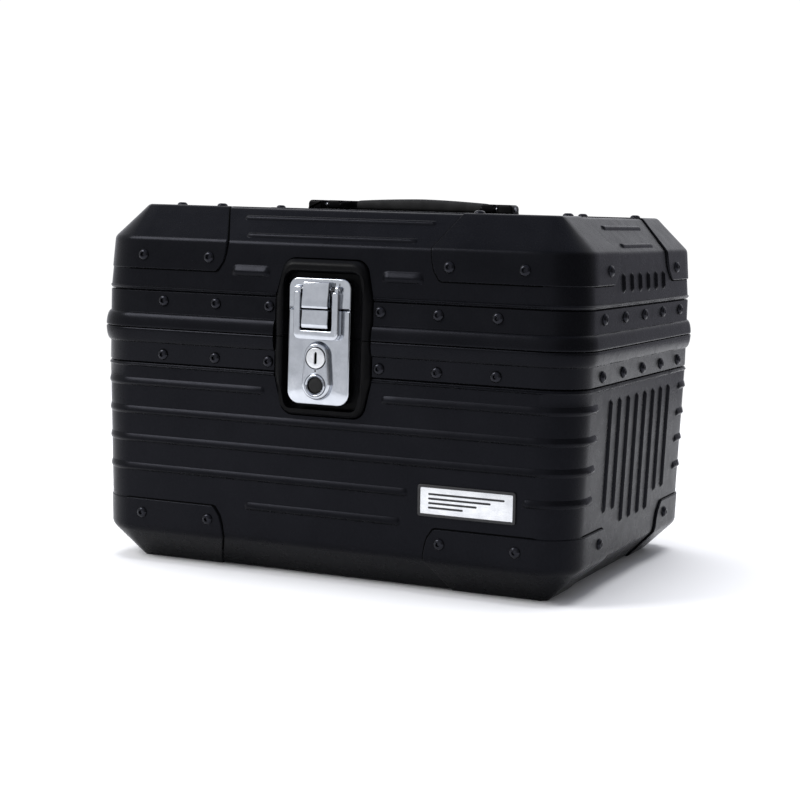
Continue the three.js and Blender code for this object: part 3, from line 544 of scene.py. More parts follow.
def slab(outline: Loop, back: float, front: float, edge: float = 0.5, back_edge: float = 0.0,
         holes: Sequence[Loop] = (), hole_back: float | None = None) -> Shape:
    """A plate with rounded edges and holes.

    Args:
        outline: its outer loop.
        back: the depth of its back face.
        front: the depth of its front face.
        edge: the radius along its front edge.
        back_edge: the radius along its back edge.
        holes: loops of its holes, counter-clockwise.
        hole_back: the depth where holes end blind, or None where they go through.

    Returns:
        The plate, in outline axes.
    """
    shape = Shape()
    levels = []
    if back_edge:
        levels += [(back_edge * (1 - math.sin(a)), back + back_edge * (1 - math.cos(a)))
                   for a in np.radians((0, 45, 90))]
    else:
        levels.append((0.0, back))
    if edge:
        levels += [(edge * (1 - math.cos(a)), front - edge * (1 - math.sin(a)))
                   for a in np.radians((0, 22.5, 45, 67.5, 90))]
    else:
        levels.append((0.0, front))
    loops = [[(u, v, h) for u, v in offset(outline, inset)] for inset, h in levels]
    through = bool(holes) and hole_back is None
    shape.loft(loops, start=not through, end=not holes)
    if holes:
        lip = min(0.3, edge or 0.3)
        floor = back if through else hole_back
        rims = []
        for hole in holes:
            mouth = [Vector((u, v, front)) for u, v in offset(hole, -lip)]
            neck = [Vector((u, v, front - lip)) for u, v in hole]
            foot = [Vector((u, v, floor)) for u, v in hole]
            rims.append((mouth, foot))
            shape.loft([list(reversed(mouth)), list(reversed(neck)), list(reversed(foot))],
                       False, not through)
        shape.cap_with_holes([Vector(p) for p in loops[-1]], [m for m, _ in rims], Vector((0, 0, 1)))
        if through:
            shape.cap_with_holes([Vector(p) for p in loops[0]], [f for _, f in rims], Vector((0, 0, -1)))
    return shape


def turned(profile: Sequence[Point], steps: int = 40) -> Shape:
    """A body of revolution about the depth axis.

    Args:
        profile: radius and depth, from the back's middle to the front's middle.
        steps: facets in a full turn.

    Returns:
        The body, in outline axes.
    """
    loops = [[(u, v, h) for u, v in circle(r, steps)] for r, h in profile]
    return Shape().loft(loops)


def rounded_rod(radius: float, back: float, front: float, edge: float = 0.3, steps: int = 32) -> Shape:
    """A rod with softened ends."""
    return turned([(radius - edge, back), (radius, back + edge), (radius, front - edge),
                   (radius - edge, front)], steps)


class Workshop:
    """Turns shapes into pieces that ride on the frame's bodies."""

    def __init__(self, finishes: Finishes) -> None:
        """Keeps the finishes.

        Args:
            finishes: the materials that pieces take.
        """
        self.finishes = finishes
        self.count = 0

    def piece(self, name: str, shape: Shape | Mesh, body: Body, slot: Slot,
              material: Material, replaces: Iterable[str] = (), sharp: float = 38) -> bpy.types.Object:
        """Makes one piece.

        Args:
            name: the piece's name.
            shape: its shape, or its mesh in metres.
            body: the body that it rides on.
            slot: the record's slot for its finish; not used.
            material: its material.
            replaces: the frame's nodes that it stands for.
            sharp: the angle in degrees above which an edge stays sharp.

        Returns:
            The piece.
        """
        mesh = shape.mesh(name) if isinstance(shape, Shape) else shape
        if not mesh.materials:
            mesh.materials.append(material)
        mesh.shade_smooth()
        mesh.set_sharp_from_angle(angle=math.radians(sharp))
        made = bpy.data.objects.new(name, mesh)
        bpy.context.scene.collection.objects.link(made)
        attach(made, body.value)
        nodes = list(replaces)
        if nodes:
            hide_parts(*nodes)
        self.count += 1
        LOG.info("%s: %d faces on %s", name, len(mesh.polygons), body.value)
        return made


# -------- case form


@dataclass(frozen=True)
class CaseForm:
    """The case's plan and heights, read from the frame."""

    half_width: float
    half_depth: float
    box_gap: float
    parting: float
    lid_gap: float
    box_floor: float
    lid_top: float
    parting_gap: float
    corner: float = 35
    bead: float = 4
    bead_half: float = 12.5
    box_chamfer: float = 28.6
    box_chamfer_inset: float = 4.2
    box_floor_inset: float = 32
    lid_chamfer: float = 272.2
    lid_chamfer_inset: float = 3.6
    lid_top_inset: float = 31
    sheet: float = 1.5
    plate: float = 3
    flange: float = 4.5
    flange_inset: float = 13.5

    @classmethod
    def from_frame(cls) -> "CaseForm":
        """Reads the driving sizes from the frame's nodes.

        Returns:
            The case's form.
        """
        low, high = (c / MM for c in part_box("box_rim_frame"))
        lid_low, lid_high = (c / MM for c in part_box("lid_rim_frame"))
        bead = cls.bead
        return cls(
            half_width=high.x - bead, half_depth=-low.y - bead, box_gap=low.z,
            parting=(high.z + lid_low.z) / 2, lid_gap=lid_high.z,
            box_floor=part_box("box_shell")[0].z / MM, lid_top=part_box("lid_shell")[1].z / MM,
            parting_gap=(lid_low.z - high.z) / 2,
        )

    @property
    def core(self) -> Point:
        """Half sizes of the rectangle that the corner centres lie on."""
        return self.half_width - self.corner, self.half_depth - self.corner

    @property
    def arc(self) -> float:
        """Length of a corner along the rim frame."""
        return self.corner * math.pi / 2

    @property
    def round(self) -> float:
        """Length all round the rim frame."""
        a, b = self.core
        return 4 * (a + b + self.arc)

    def on_front(self, x: float) -> float:
        """Perimeter place of a point on the front."""
        return x % self.round

    def on_right(self, y: float) -> float:
        """Perimeter place of a point on the right side."""
        a, b = self.core
        return a + self.arc + b + y

    def on_rear(self, x: float) -> float:
        """Perimeter place of a point on the back."""
        return self.round / 2 - x

    def on_left(self, y: float) -> float:
        """Perimeter place of a point on the left side."""
        return self.round - self.on_right(y)

    def spine(self, s: np.ndarray) -> tuple[np.ndarray, np.ndarray]:
        """Walks round the case.

        Args:
            s: perimeter places, counted from the front's middle to the right.

        Returns:
            The core points and the outward directions at those places.
        """
        a, b = self.core
        legs = [(a, (0, -b), (1, 0), None), (self.arc, (a, -b), None, -90), (2 * b, (a, -b), (0, 1), None),
                (self.arc, (a, b), None, 0), (2 * a, (a, b), (-1, 0), None), (self.arc, (-a, b), None, 90),
                (2 * b, (-a, b), (0, -1), None), (self.arc, (-a, -b), None, 180), (a, (-a, -b), (1, 0), None)]
        s = np.mod(np.asarray(s, float), self.round)
        core, out = np.zeros((len(s), 2)), np.zeros((len(s), 2))
        start = 0.0
        for length, point, way, angle in legs:
            here = (s >= start - 1e-9) & (s <= start + length + 1e-9)
            along = s[here] - start
            if way is not None:
                core[here] = np.array(point) + along[:, None] * np.array(way)
                out[here] = (way[1], -way[0])
            else:
                turn = np.radians(angle + 90 * along / length)
                core[here] = point
                out[here] = np.stack([np.cos(turn), np.sin(turn)], 1)
            start += length
        return core, out

    def columns(self, marks: Iterable[float], flat: float = 14, bend: int = 16) -> np.ndarray:
        """Perimeter places for a mesh's columns.

        Args:
            marks: places that need a column.
            flat: the widest spacing on the flats.
            bend: columns in a corner.

        Returns:
            The places, in order.
        """
        a, b = self.core
        ends = np.cumsum([0, a, self.arc, 2 * b, self.arc, 2 * a, self.arc, 2 * b, self.arc, a])
        places = {round(m % self.round, 3) for m in marks}
        for k, (s0, s1) in enumerate(zip(ends[:-1], ends[1:])):
            parts = bend if k % 2 else math.ceil((s1 - s0) / flat)
            places |= {round(float(x), 3) for x in np.linspace(s0, s1, parts + 1)[:-1]}
        kept: list[float] = []
        for place in sorted(places):
            if not kept or place - kept[-1] > 0.12:
                kept.append(place)
        return np.array(kept)

    def ring(self, s: np.ndarray, inset: float, z: float) -> np.ndarray:
        """Points round the case at one inset and height.

        Args:
            s: perimeter places.
            inset: how far inwards from the flats.
            z: the height.

        Returns:
            Points in rows of three.
        """
        core, out = self.spine(s)
        xy = core + out * (self.corner - inset)
        return np.column_stack([xy, np.full(len(s), z)])


class Profile:
    """A wall's section: inset and height, with rounded bends, from the bottom up."""

    def __init__(self, corners: Sequence[Triple]) -> None:
        """Rounds the bends and measures the path.

        Args:
            corners: inset, height and rounding of each bend.
        """
        self.path = np.array(fillet(corners, closed=False, step=9))
        steps = np.diff(self.path, axis=0)
        length = np.linalg.norm(steps, axis=1)
        self.at = np.concatenate([[0], np.cumsum(length)])
        out = np.stack([-steps[:, 1], steps[:, 0]], 1) / length[:, None]
        joined = np.vstack([out[:1], out[:-1] + out[1:], out[-1:]])
        self.out = joined / np.linalg.norm(joined, axis=1)[:, None]

    def height(self, z: float) -> float:
        """Path length where the outer side passes a height.

        Args:
            z: the height.

        Returns:
            The path length.
        """
        low, high = self.path[:-1], self.path[1:]
        rise = high[:, 1] - low[:, 1]
        share = np.divide(z - low[:, 1], rise, out=np.full(len(rise), -1.0), where=np.abs(rise) > 1e-6)
        crossed = np.flatnonzero((share >= 0) & (share <= 1))
        inset = low[crossed, 0] + share[crossed] * (high[crossed, 0] - low[crossed, 0])
        outermost = crossed[np.argmin(inset)]
        return float(np.interp(share[outermost], (0, 1), self.at[outermost:outermost + 2]))

    def sample(self, v: np.ndarray) -> tuple[np.ndarray, np.ndarray]:
        """Points and outward directions at path lengths.

        Args:
            v: path lengths.

        Returns:
            The points, and the directions.
        """
        point = np.stack([np.interp(v, self.at, self.path[:, k]) for k in (0, 1)], 1)
        out = np.stack([np.interp(v, self.at, self.out[:, k]) for k in (0, 1)], 1)
        return point, out / np.linalg.norm(out, axis=1)[:, None]

    def rows(self, marks: Iterable[float], widest: float = 12) -> np.ndarray:
        """Path lengths for a mesh's rows.

        Args:
            marks: lengths that need a row.
            widest: the widest spacing.

        Returns:
            The lengths, in order.
        """
        places = sorted({round(float(x), 3) for x in (*self.at, *marks) if 0 <= x <= self.at[-1]})
        kept = [places[0]]
        for place in places[1:]:
            gap = place - kept[-1]
            if gap < 0.1:
                continue
            parts = math.ceil(gap / widest)
            kept += [kept[-1] + gap * (k + 1) / parts for k in range(parts)]
        kept[-1] = float(self.at[-1])
        return np.array(kept)


@dataclass(frozen=True)
class Rib:
    """A pressed rib on a wall, with round ends and a crest that its skew sets below the middle."""

    s0: float
    z0: float
    s1: float
    z1: float
    half: float
    height: float
    skew: float = 0

    def marks(self, first: float, last: float) -> list[float]:
        """Rows or columns that the rib needs between its ends along one axis.

        Args:
            first: where the rib begins.
            last: where it ends.

        Returns:
            Their places.
        """
        low, high = first + self.half, last - self.half
        steps = [self.half * t for t in (0.0, 0.35, 0.65, 0.87, 1.0, 1.08)]
        return [low - t for t in steps] + [high + t for t in steps]

    def relief(self, s: np.ndarray, v: np.ndarray, span: Point, total: float) -> np.ndarray:
        """The rib's height over a grid.

        Args:
            s: the grid's perimeter places.
            v: the grid's path lengths.
            span: the path lengths that the rib lies between.
            total: the length all round the case.

        Returns:
            Heights with a row for each path length.
        """
        low, high = self.half * (1 - self.skew), self.half * (1 + self.skew)
        below, above = (span[0] + low - v) / low, (v - span[1] + high) / high
        across = np.maximum(np.maximum(below, above), 0)[:, None]
        along = np.zeros((1, len(s)))
        if math.isfinite(self.s1):
            away = np.mod(s - (self.s0 + self.s1) / 2 + total / 2, total) - total / 2
            reach = (self.s1 - self.s0) / 2 - self.half
            along = np.maximum(np.abs(away) - reach, 0)[None, :] / self.half
        t = np.clip(np.hypot(along, across), 0, 1)
        return self.height * np.where(t < 0.16, 1 - 2.6 * t * t, 1.067 - t * 0.832 - 0.235 * t ** 3)


def wall_grid(form: CaseForm, profile: Profile, s: np.ndarray, v: np.ndarray,
              relief: np.ndarray) -> list[np.ndarray]:
    """Rows of points on a wall raised by its relief.

    Args:
        form: the case's form.
        profile: the wall's section.
        s: perimeter places of the columns.
        v: path lengths of the rows.
        relief: heights, with a row for each path length.

    Returns:
        One array of points for each row.
    """
    core, out = form.spine(s)
    point, lean = profile.sample(v)
    rows = []
    for (inset, z), (li, lz), lift in zip(point, lean, relief):
        reach = form.corner - inset - li * lift
        rows.append(np.column_stack([core + out * reach[:, None], z + lz * lift]))
    return rows


def cut_away(mesh: Mesh, cutter: Shape) -> Mesh:
    """Cuts one shape out of a mesh.

    Args:
        mesh: the mesh to cut, in metres.
        cutter: the shape to take away.

    Returns:
        The cut mesh.
    """
    target = bpy.data.objects.new("cut target", mesh)
    tool = bpy.data.objects.new("cutter", cutter.mesh("cutter"))
    for each in (target, tool):
        bpy.context.scene.collection.objects.link(each)
    change = target.modifiers.new("cut", "BOOLEAN")
    change.operation, change.solver, change.object = "DIFFERENCE", "EXACT", tool
    graph = bpy.context.evaluated_depsgraph_get()
    made = bpy.data.meshes.new_from_object(target.evaluated_get(graph))
    for each in (target, tool):
        bpy.data.objects.remove(each)
    return made


def both_sides() -> tuple[tuple[str, int], ...]:
    """The left and right sides with their signs."""
    return ("left", -1), ("right", 1)


def both_ends() -> tuple[tuple[str, int], ...]:
    """The front and rear ends with their signs."""
    return ("front", -1), ("rear", 1)


@dataclass(frozen=True)
class Builder:
    """What every sub-assembly shares."""

    form: CaseForm
    shop: Workshop

    @property
    def look(self) -> Finishes:
        """The object's materials."""
        return self.shop.finishes

    def front(self, depth: float = 0.0) -> Triple:
        """The origin of outlines drawn on the front, at a depth behind the rim frame's flat."""
        return 0.0, -self.form.half_depth + depth, 0.0

    def on_wall(self, s: float, inset: float, z: float, lean: float = 0.0) -> Matrix:
        """Where a part stands on a wall.

        Args:
            s: its perimeter place.
            inset: how far inside the rim frame's flat the wall lies there.
            z: its height.
            lean: how far the wall looks upwards, in radians.

        Returns:
            A matrix whose third axis points out of the wall.
        """
        core, out = self.form.spine(np.array([s]))
        outward = Vector((out[0, 0] * math.cos(lean), out[0, 1] * math.cos(lean), math.sin(lean)))
        along = Vector((-out[0, 1], out[0, 0], 0.0))
        upward = outward.cross(along)
        reach = self.form.corner - inset
        place = Vector((core[0, 0] + out[0, 0] * reach, core[0, 1] + out[0, 1] * reach, z))
        turn = Matrix((along, upward, outward)).transposed().to_4x4()
        return Matrix.Translation(place) @ turn


def button_screw(radius: float = 4.7, height: float = 2.5, key: float = 3.2) -> Shape:
    """A button-head screw with a hexagon socket.

    Args:
        radius: the head's radius.
        height: the head's height.
        key: the socket's width across flats.

    Returns:
        The head, standing on the depth axis.
    """
    steps = 24
    dome = [(1.0, -0.6), (1.0, 0.14), (0.965, 0.32), (0.88, 0.56), (0.75, 0.77), (0.6, 0.92), (0.47, 0.98)]
    loops = [[(u, v, h * height) for u, v in circle(radius * r, steps)] for r, h in dome]

    def hexagon(half: float) -> Loop:
        """A six-sided key hole with as many points as the dome's loops.

        Args:
            half: half the width over its flats.

        Returns:
            Its loop.
        """
        turns = [2 * math.pi * i / steps for i in range(steps)]
        reach = [half / math.cos((a % (math.pi / 3)) - math.pi / 6) for a in turns]
        return [(r * math.cos(a), r * math.sin(a)) for r, a in zip(reach, turns)]

    for half, h in ((key / 2 + 0.12, 0.97), (key / 2, 0.9), (key / 2 - 0.02, 0.25)):
        loops.append([(u, v, h * height) for u, v in hexagon(half)])
    return Shape().loft(loops)


# -------- panels


@dataclass(frozen=True)
class Panels(Builder):
    """The two ribbed sheet shells."""

    rib_z: tuple[float, ...] = (56.4, 80.5, 104.9, 128.6, 152.5)
    wrap: float = 115
    side_y: tuple[float, ...] = (11.9, 35.6, 59.4, 83.2)
    lid_side_y: tuple[float, ...] = (11.6, 34.7, 57.8)
    half: float = 3.0
    band: float = 3.4
    height: float = 1.9
    skew: float = 0.35
    corner_fade: float = 0.5
    seam: float = 1.0
    neck: float = 3.3

    def box_profile(self) -> Profile:
        """The box wall's section: up the outside and down the inside.

        Returns:
            The section.
        """
        f = self.form
        top, rim = f.box_gap - self.seam, f.parting - f.parting_gap - f.flange - 0.3
        inner = self.neck + f.sheet
        return Profile([
            (36, f.box_floor, 0), (34.4, f.box_floor, 0.3), (33.9, 0.9, 0.3), (f.box_floor_inset, 0.9, 2),
            (f.box_chamfer_inset, f.box_chamfer, 10), (0, top, 0.9), (self.neck, top, 0.3),
            (self.neck, rim, 0.4), (inner, rim, 0.4), (inner, top - 4, 3), (f.sheet + 0.3, top - 9, 3),
            (f.box_chamfer_inset + f.sheet, f.box_chamfer + 0.6, 9),
                        (f.box_floor_inset + 0.6, f.box_floor + f.sheet, 4),
            (36, f.box_floor + f.sheet, 0),
        ])

    def lid_profile(self) -> Profile:
        """The lid wall's section: down the inside and up the outside.

        Returns:
            The section.
        """
        f = self.form
        bottom, rim = f.lid_gap + self.seam, f.parting + f.parting_gap + f.flange + 0.3
        inner = self.neck + f.sheet
        return Profile([
            (34.2, f.lid_top - f.sheet, 0), (f.lid_top_inset + 0.6, f.lid_top - f.sheet, 5),
            (f.lid_chamfer_inset + f.sheet, f.lid_chamfer - 0.6, 6), (f.sheet + 0.3, bottom + 9, 3),
            (inner, bottom + 4, 3), (inner, rim, 0.4), (self.neck, rim, 0.4), (self.neck, bottom, 0.3),
            (0, bottom, 0.9), (f.lid_chamfer_inset, f.lid_chamfer, 7), (f.lid_top_inset, f.lid_top, 6),
            (34.2, f.lid_top, 0),
        ])

    def box_ribs(self) -> list[Rib]:
        """The box's ribs: long ones that wrap round the corners, and upright ones on the sides.

        Returns:
            The ribs.
        """
        f, h, band = self.form, self.half, self.band
        right_end, left_end = f.on_right(-self.wrap), -f.on_right(-self.wrap)
        rear_right, rear_left = f.on_right(self.wrap), f.round - f.on_right(self.wrap)
        made = []
        spans = {
            0: [(-70, 70)],
            1: [(left_end, 76), (172, right_end)],
            2: [(left_end, right_end)],
            3: [(left_end, right_end)],
            4: [(left_end, -52), (52, right_end)],
        }
        for row, z in enumerate(self.rib_z):
            for s0, s1 in spans[row]:
                made.append(Rib(s0, z - band, s1, z + band, band, self.height, self.skew))
            rear = (rear_right, rear_left) if row else (f.on_rear(70), f.on_rear(-70))
            made.append(Rib(*(rear[0], z - band), *(rear[1], z + band), band, self.height, self.skew))
        for index, y in enumerate(self.side_y):
            low = 51.5 if index < 2 else 65
            made += [Rib(s - h, low, s + h, 157, h, self.height) for s in self.side_places(y)]
        lip = f.box_gap - self.seam
        made.append(Rib(0, lip - 3.2, math.inf, lip - 0.9, 1.15, 1.3))
        return made

    def lid_ribs(self) -> list[Rib]:
        """The lid's ribs: short upright ones, long ones on the chamfer and pills by the lock.

        Returns:
            The ribs.
        """
        f, h = self.form, self.half
        made = []
        for y in self.lid_side_y:
            made += [Rib(s - h, 240.5, s + h, 256.6, h, self.height) for s in self.side_places(y)]
        for middle in (0.0, f.round / 2):
            for z, reach in ((292, 85), (278, 75.5)):
                made.append(Rib(middle - reach, z - 2, middle + reach, z + 2, 2.4, 1.5))
            for sign in (-1, 1):
                a, b = sorted((sign * 49.6, sign * 84.9))
                made.append(Rib(middle + a, 244.7, middle + b, 253.7, 4.2, self.height + 0.3, self.skew))
        for middle in (f.on_right(0), f.on_left(0)):
            for z, reach in ((292, 52), (278, 44)):
                made.append(Rib(middle - reach, z - 2, middle + reach, z + 2, 2.4, 1.5))
        lip = f.lid_gap + self.seam
        made.append(Rib(0, lip + 0.9, math.inf, lip + 3.2, 1.15, 1.3))
        return made

    def side_places(self, y: float) -> list[float]:
        """Perimeter places of one distance from the middle, on both sides and at both ends."""
        return [place(sign * y) for place in (self.form.on_right, self.form.on_left) for sign in (-1, 1)]

    def skin(self, profile: Profile, ribs: list[Rib]) -> Shape:
        """The raised wall of a shell.

        Args:
            profile: the wall's section.
            ribs: its ribs.

        Returns:
            A closed shell.
        """
        form = self.form
        s_marks = [m for rib in ribs if math.isfinite(rib.s1) for m in rib.marks(rib.s0, rib.s1)]
        v_marks = []
        for rib in ribs:
            v0, v1 = profile.height(rib.z0), profile.height(rib.z1)
            v_marks += rib.marks(v0, v1)
        s, v = form.columns(s_marks), profile.rows(v_marks, 22)
        relief = np.zeros((len(v), len(s)))
        for rib in ribs:
            bounds = profile.height(rib.z0), profile.height(rib.z1)
            relief = np.maximum(relief, rib.relief(s, v, bounds, form.round))
        _, out = form.spine(s)
        relief *= 1 - self.corner_fade * 2 * np.abs(out[:, 0] * out[:, 1])[None, :]
        return Shape().loft(wall_grid(form, profile, s, v, relief))

    def lock_opening(self) -> Shape:
        """The space for the lock pocket."""
        outline = Bezel(self.form, self.shop).outline(1.1)
        return slab(outline, -20, 20, 0).moved(Plane.FRONT.matrix(self.front()))

    def top_beads(self) -> Shape:
        """Low stiffening beads along the lid's top, beside the handle.

        Returns:
            The beads.
        """
        made = Shape()
        for y in (-112, -90, -68, 68, 90, 112):
            outline = box_loop(-150, y - 3, 150, y + 3, 2.98)
            made.add(slab(outline, self.form.lid_top - 0.5, self.form.lid_top + 0.9, 0.85))
        return made

    def build(self) -> None:
        """Makes both shells."""
        hole = self.lock_opening()
        box = self.skin(self.box_profile(), self.box_ribs()).mesh("box_panel")
        self.shop.piece("box_panel", cut_away(box, hole), Body.BOX, Slot.PANEL,
                        self.look.panel, ["box_shell"])
        lid = self.skin(self.lid_profile(), self.lid_ribs()).mesh("lid_panel")
        self.shop.piece("lid_panel", cut_away(lid, hole), Body.LID, Slot.PANEL,
                        self.look.panel, ["lid_shell"])
        self.shop.piece("lid_top_beads", self.top_beads(), Body.LID, Slot.PANEL, self.look.panel)


# -------- rim frames


@dataclass(frozen=True)
class RimFrames(Builder):
    """The two rim frames with their half beads, flanges, seal and screws."""

    bezel_half: float = 43.6
    notch_x: float = 120
    notch_half: float = 29.5
    screw_x: tuple[float, ...] = (49.3, 98.7, 148.1)
    screw_y: tuple[float, ...] = (0, 54.3, 108.6)
    screw_drop: float = 21.6
    lid_screw_rise: float = 23.2

    def section(self, side: int) -> list[Point]:
        """The frame's section, as insets and distances from the parting plane.

        Args:
            side: -1 for the box and 1 for the lid.

        Returns:
            A closed loop that starts at the panel's edge and runs towards the bead.
        """
        f = self.form
        far = f.parting - f.box_gap if side < 0 else f.lid_gap - f.parting
        bead = [(-f.bead * math.cos(a), f.bead_half * math.sin(a))
                for a in np.radians(np.arange(84, 5, -6.5))]
        start = [(0.7, far), (0.2, far - 0.25), (0, far - 0.8), (0, f.bead_half + 0.7), (-0.25, f.bead_half)]
        notch = [(-f.bead + 0.12, 0.95), (-f.bead + 0.45, 0.5), (-f.bead + 1.0, f.parting_gap)]
        back = f.parting_gap + f.flange
        inner = [(f.flange_inset - 0.4, f.parting_gap), (f.flange_inset, f.parting_gap + 0.4),
                 (f.flange_inset, back - 0.4), (f.flange_inset - 0.4, back), (f.plate + 1.6, back),
                 (f.plate + 0.5, back + 0.5), (f.plate, back + 1.6), (f.plate, far)]
        return start + bead + notch + inner

    def sweep(self, side: int) -> Shape:
        """The frame along its run, from the lock's right side round to its left.

        Args:
            side: -1 for the box and 1 for the lid.

        Returns:
            A closed body.
        """
        f = self.form
        edges = [f.on_rear(sign * self.notch_x + end * self.notch_half) for sign in (-1, 1)
                 for end in (-1, 1)]
        marks = [e + step for e in edges for step in (-0.9, -0.3, 0.3, 0.9)]
        s = f.columns([*marks, self.bezel_half, -self.bezel_half], 20, 22)
        s = s[(s >= self.bezel_half - 1e-6) & (s <= f.round - self.bezel_half + 1e-6)]
        core, out = f.spine(s)
        x = core[:, 0] + out[:, 0] * f.corner
        at_rear = core[:, 1] > 0
        near = np.abs(np.abs(x) - self.notch_x)
        keep = np.where(at_rear, np.clip((near - self.notch_half + 0.9) / 1.8, 0, 1), 1.0)
        section = self.section(side)
        loops = []
        for i in range(len(s)):
            loop = []
            for inset, distance in section:
                reach = f.corner - (inset * keep[i] if inset < 0 else inset)
                place = core[i] + out[i] * reach
                loop.append((place[0], place[1], f.parting + side * distance))
            loops.append(loop if side > 0 else loop[::-1])
        return Shape().loft(loops)

    def flange_bar(self, side: int) -> Shape:
        """The flange's run behind the lock pocket.

        Args:
            side: -1 for the box, 1 for the lid.

        Returns:
            The bar.
        """
        f = self.form
        z = sorted((f.parting + side * f.parting_gap, f.parting + side * (f.parting_gap + f.flange)))
        y = -f.half_depth
        outline = box_loop(-self.bezel_half - 1, y + 8.7, self.bezel_half + 1, y + f.flange_inset, 0.4)
        return slab(outline, z[0], z[1], 0.3, 0.3)

    def screws(self, z: float) -> Shape:
        """Button-head screws all round at one height.

        Args:
            z: the height of the row.

        Returns:
            The screws.
        """
        f = self.form
        places = [f.on_front(sign * x) for x in self.screw_x for sign in (-1, 1)]
        places += [f.on_rear(sign * x) for x in (49.3, 184) for sign in (-1, 1)]
        sides = {sign * y for y in self.screw_y for sign in (-1, 1)}
        places += [place(y) for y in sorted(sides) for place in (f.on_right, f.on_left)]
        made = Shape()
        for index, s in enumerate(places):
            turn = Matrix.Rotation(0.9 * index, 4, "Z")
            made.add(button_screw().moved(self.on_wall(s, 0, z) @ turn))
        return made

    def seal(self) -> Shape:
        """The rubber seal in the lid flange's groove.

        Returns:
            The seal.
        """
        f = self.form
        s = f.columns([], 30, 14)
        section = [(9.9, 1.4), (9.9, 0.35), (10.2, 0.05), (10.9, -0.1), (11.6, 0.05),
                   (11.9, 0.35), (11.9, 1.4)]
        rings = [f.ring(s, inset, f.parting + d) for inset, d in section[::-1]]
        made, count = Shape(), len(s)
        for ring in rings:
            made.points.extend(Vector(p) for p in ring)
        for k in range(len(rings)):
            a, b = k * count, ((k + 1) % len(rings)) * count
            for i in range(count):
                j = (i + 1) % count
                made.faces.append((a + i, a + j, b + j, b + i))
        return made

    def build(self) -> None:
        """Makes both frames, their screws and the seal."""
        f, look = self.form, self.look
        sides = ((-1, "box", Body.BOX, f.parting - self.screw_drop),
                 (1, "lid", Body.LID, f.parting + self.lid_screw_rise))
        for side, name, body, screw_z in sides:
            rim = self.sweep(side).add(self.flange_bar(side))
            self.shop.piece(f"{name}_rim", rim, body, Slot.FRAME, look.rim, [f"{name}_rim_frame"], 30)
            self.shop.piece(f"{name}_rim_screws", self.screws(screw_z), body, Slot.STEEL, look.screw)
        self.shop.piece("lid_gasket", self.seal(), Body.LID, Slot.RUBBER, look.rubber, ["lid_seal"])


# -------- corner protectors


@dataclass(frozen=True)
class ProtectorPlan:
    """The section and limits of one kind of corner protector."""

    outer: tuple[Triple, ...]
    base: tuple[Triple, ...]
    edge_z: float
    bend_z: float
    front: Triple = (102.6, 90, 104.5)
    side: Triple = (90, 69, 83.5)

    def limit(self, sizes: Triple, leg: float, z: float) -> float:
        """How near the middle of a wall the protector reaches.

        Args:
            sizes: the reach at the straight edge, at the bend and on the flat.
            leg: 0 to 1 down the wall, 1 to 2 over the chamfer.
            z: the height on the wall.

        Returns:
            The distance from the wall's middle.
        """
        edge, kink, flat = sizes
        if leg >= 1:
            return kink + (flat - kink) * min(leg - 1, 1)
        t = math.sqrt(min(max((self.edge_z - z) / (self.edge_z - self.bend_z), 0), 1))
        return (1 - t) ** 2 * edge + 2 * t * (1 - t) * (kink + 2) + t * t * kink


